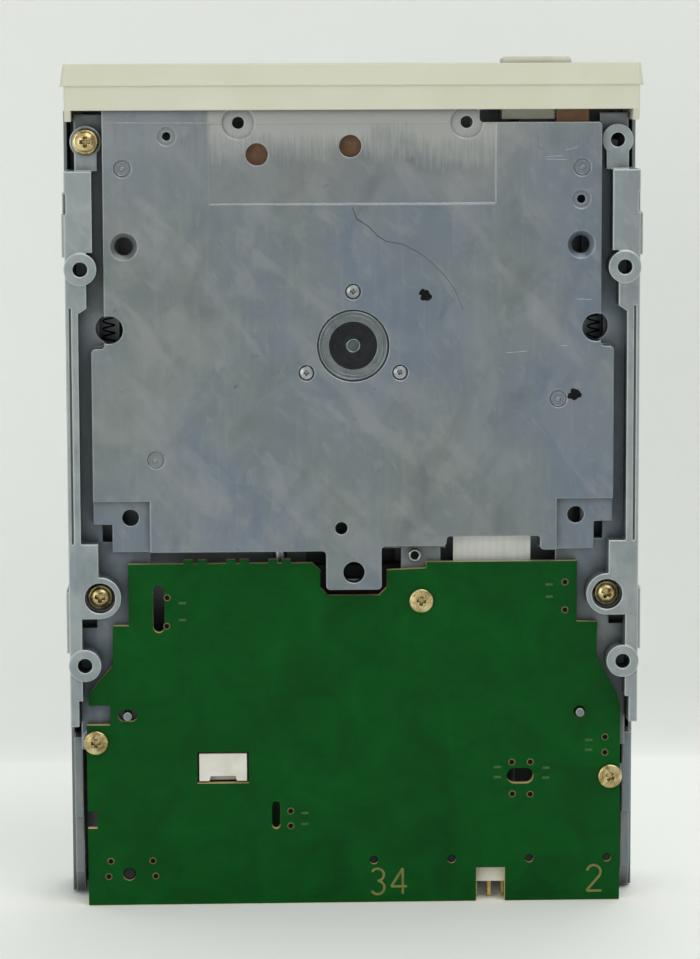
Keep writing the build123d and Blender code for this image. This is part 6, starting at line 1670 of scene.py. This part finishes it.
@dataclass
class Studio:
    """Camera, lamps, pale backdrop and world.

    Sizes and the camera's places are in millimetres, and its roll is in degrees.
    """

    eye: Triple = (-21.462, -72.787, -596.47)
    aim: Triple = (-0.70, 2.15, 0.0)
    roll: float = 0.195
    focal_pixels: float = 3420.0
    sensor: float = 36.0
    clip: Spot = (10.0, 20000.0)
    # Soft light on the underside from above and the right, then lamps for the cover and the rear
    lamps: tuple[Lamp, ...] = (
        Lamp("key_lamp", (0.3, -0.72, -0.45), side=0.6, power=2.7),
        Lamp("ceiling_lamp", (0.0, -0.95, -0.16), side=0.5, power=1.2),
        Lamp("fill_lamp", (-0.55, -0.15, -0.6), side=0.5, power=1.5),
        Lamp("cover_lamp", (0.2, -0.45, 0.8), side=0.6, power=2.8),
        Lamp("rear_lamp", (-0.45, 0.7, 0.45), side=0.5, power=2.2),
    )
    room_tone: str = "#F4F6F5"
    room_light: float = 0.4
    room_seen: float = 0.7
    floor_gap: float = 0.1
    wall_height: float = 141.0
    cove: float = 15.0
    cove_steps: int = 12
    reach: float = 1600.0
    paper_tone: str = "#F3F5F1"
    paper_shade: str = "#C8CCC6"
    paper_shade_share: float = 0.06
    paper_cloud: float = 160.0

    def camera(self) -> bpy.types.Object:
        """Stand the camera where the photograph was taken, looking at the underside, front up.

        Returns:
            The camera.
        """
        eye, aim = Vector(self.eye) * MM, Vector(self.aim) * MM
        ahead = (aim - eye).normalized()
        level = ahead.cross(Vector((0, -1, 0))).normalized()
        below = ahead.cross(level)
        roll = math.radians(self.roll)
        right = level * math.cos(roll) + below * math.sin(roll)
        up = -ahead.cross(right)
        lens = bpy.data.cameras.new("photo_lens")
        lens.sensor_fit = "HORIZONTAL"
        lens.sensor_width = self.sensor
        lens.lens = self.sensor * self.focal_pixels / PHOTO_WIDTH
        lens.clip_start, lens.clip_end = (distance * MM for distance in self.clip)
        camera = placed("photo_camera", lens)
        camera.matrix_world = Matrix.Translation(eye) @ Matrix((right, up, -ahead)).transposed().to_4x4()
        bpy.context.scene.camera = camera
        return camera

    def world(self) -> None:
        """Surround the object with pale light, which the camera and metal see brighter."""
        world = bpy.data.worlds.new("pale_room")
        bpy.context.scene.world = world
        world.use_nodes = True
        tree = world.node_tree
        tree.nodes.clear()
        path = add_node(tree, "ShaderNodeLightPath")
        seen = add_node(
            tree, "ShaderNodeMath", {0: path.outputs["Is Camera Ray"], 1: path.outputs["Is Glossy Ray"]},
            operation="MAXIMUM",
        )
        seen = add_node(
            tree, "ShaderNodeMath", {0: seen.outputs["Value"], 1: path.outputs["Is Transmission Ray"]},
            operation="MAXIMUM",
        )
        strength = add_node(
            tree, "ShaderNodeMapRange",
            {"Value": seen.outputs["Value"], "To Min": self.room_light, "To Max": self.room_seen},
        )
        sky = add_node(
            tree, "ShaderNodeBackground",
            {"Color": linear(self.room_tone), "Strength": strength.outputs["Result"]},
        )
        add_node(tree, "ShaderNodeOutputWorld", {"Surface": sky.outputs["Background"]})

    def backdrop(self) -> bpy.types.Object:
        """Bend one pale sheet into the floor under the standing drive and the wall behind it.

        Returns:
            The sheet.
        """
        floor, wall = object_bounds()[1].y + self.floor_gap * MM, self.wall_height * MM
        cove, reach = self.cove * MM, self.reach * MM
        line = [(floor, -reach)]
        for i in range(self.cove_steps + 1):
            turn = math.pi / 2 * i / self.cove_steps
            line.append((floor - cove * (1 - math.cos(turn)), wall - cove * (1 - math.sin(turn))))
        line.append((-reach, wall))
        work = bmesh.new()
        sides = [[work.verts.new((x, y, z)) for y, z in line] for x in (-reach, reach)]
        for i in range(len(line) - 1):
            work.faces.new((sides[1][i], sides[1][i + 1], sides[0][i + 1], sides[0][i]))
        mesh = bpy.data.meshes.new("backdrop")
        work.to_mesh(mesh)
        work.free()
        mesh.shade_smooth()
        mesh.materials.append(self.paper())
        sheet = placed("backdrop", mesh)
        sheet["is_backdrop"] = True
        return sheet

    def paper(self) -> bpy.types.Material:
        """Make the backdrop's matt pale paper, which is clear from behind and casts no shadow.

        Returns:
            The material.
        """
        surface = bpy.data.materials.new("matt pale paper")
        surface.use_nodes = True
        tree = surface.node_tree
        tree.nodes.clear()
        place = add_node(tree, "ShaderNodeTexCoord").outputs["Object"]
        cloud = add_node(
            tree, "ShaderNodeTexNoise", {"Vector": place, "Scale": per_mm(self.paper_cloud), "Detail": 2.0}
        )
        share = add_node(
            tree, "ShaderNodeMapRange", {"Value": cloud.outputs["Fac"], "To Max": self.paper_shade_share}
        )
        layer = {
            MixSocket.SHARE: share.outputs["Result"], MixSocket.UNDER: linear(self.paper_tone),
            MixSocket.OVER: linear(self.paper_shade),
        }
        tone = add_node(tree, "ShaderNodeMix", layer, data_type="RGBA").outputs[MixSocket.RESULT]
        matt = add_node(tree, "ShaderNodeBsdfDiffuse", {"Color": tone})
        clear = add_node(tree, "ShaderNodeBsdfTransparent")
        behind = add_node(tree, "ShaderNodeNewGeometry").outputs["Backfacing"]
        shadow = add_node(tree, "ShaderNodeLightPath").outputs["Is Shadow Ray"]
        either = add_node(tree, "ShaderNodeMath", {0: behind, 1: shadow}, operation="MAXIMUM")
        mixed = add_node(
            tree, "ShaderNodeMixShader",
            {0: either.outputs["Value"], 1: matt.outputs["BSDF"], 2: clear.outputs["BSDF"]},
        )
        add_node(tree, "ShaderNodeOutputMaterial", {"Surface": mixed.outputs["Shader"]})
        return surface


def dress_nodes() -> None:
    """Give every carried-over node the finish of its slot."""
    for name, node in sorted(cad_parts.items()):
        slot = node.material_slots[0].material.name
        node.material_slots[0].material = material_of(SlotFinish[slot.upper()].value)
        LOG.info("dressed %s as %s", name, slot)


def main() -> None:
    """Build the sub-assemblies in order and report each piece."""
    logging.basicConfig(level=logging.INFO, format="%(message)s")
    bpy.context.scene.view_settings.view_transform = "Standard"
    studio = Studio()
    studio.camera()
    for lamp in studio.lamps:
        lamp.hang()
    studio.world()
    studio.backdrop()
    dress_nodes()
    fasteners = (
        ScrewSet("rail_screws", "yellow_zinc", head_high=1.7, shank_radius=1.3, crown=1.3),
        ScrewSet("board_screws", "yellow_zinc", head_high=1.0, shank_radius=1.25, crown=0.5),
        ScrewSet(
            "bearing_screws", "bright_steel", head_high=0.9, shank_radius=0.8, crown=0.3, thread_depth=0.15
        ),
    )
    springs = (
        CoilSet("slide_springs", "frame", turns=13, wire=0.3, lengthwise=True, keep=0.684),
        CoilSet("lever_spring", "shutter_lever", turns=4, wire=0.34, lengthwise=False),
    )
    pieces = [part.build() for part in (*fasteners, *springs, LeadScrew())]
    pieces += BoardMarks().build() + CastingMarks().build() + SpindleTrim().build()
    for piece in pieces:
        LOG.info("built %s with %d faces", piece.name, len(piece.data.polygons))


if __name__ == "__main__":
    main()
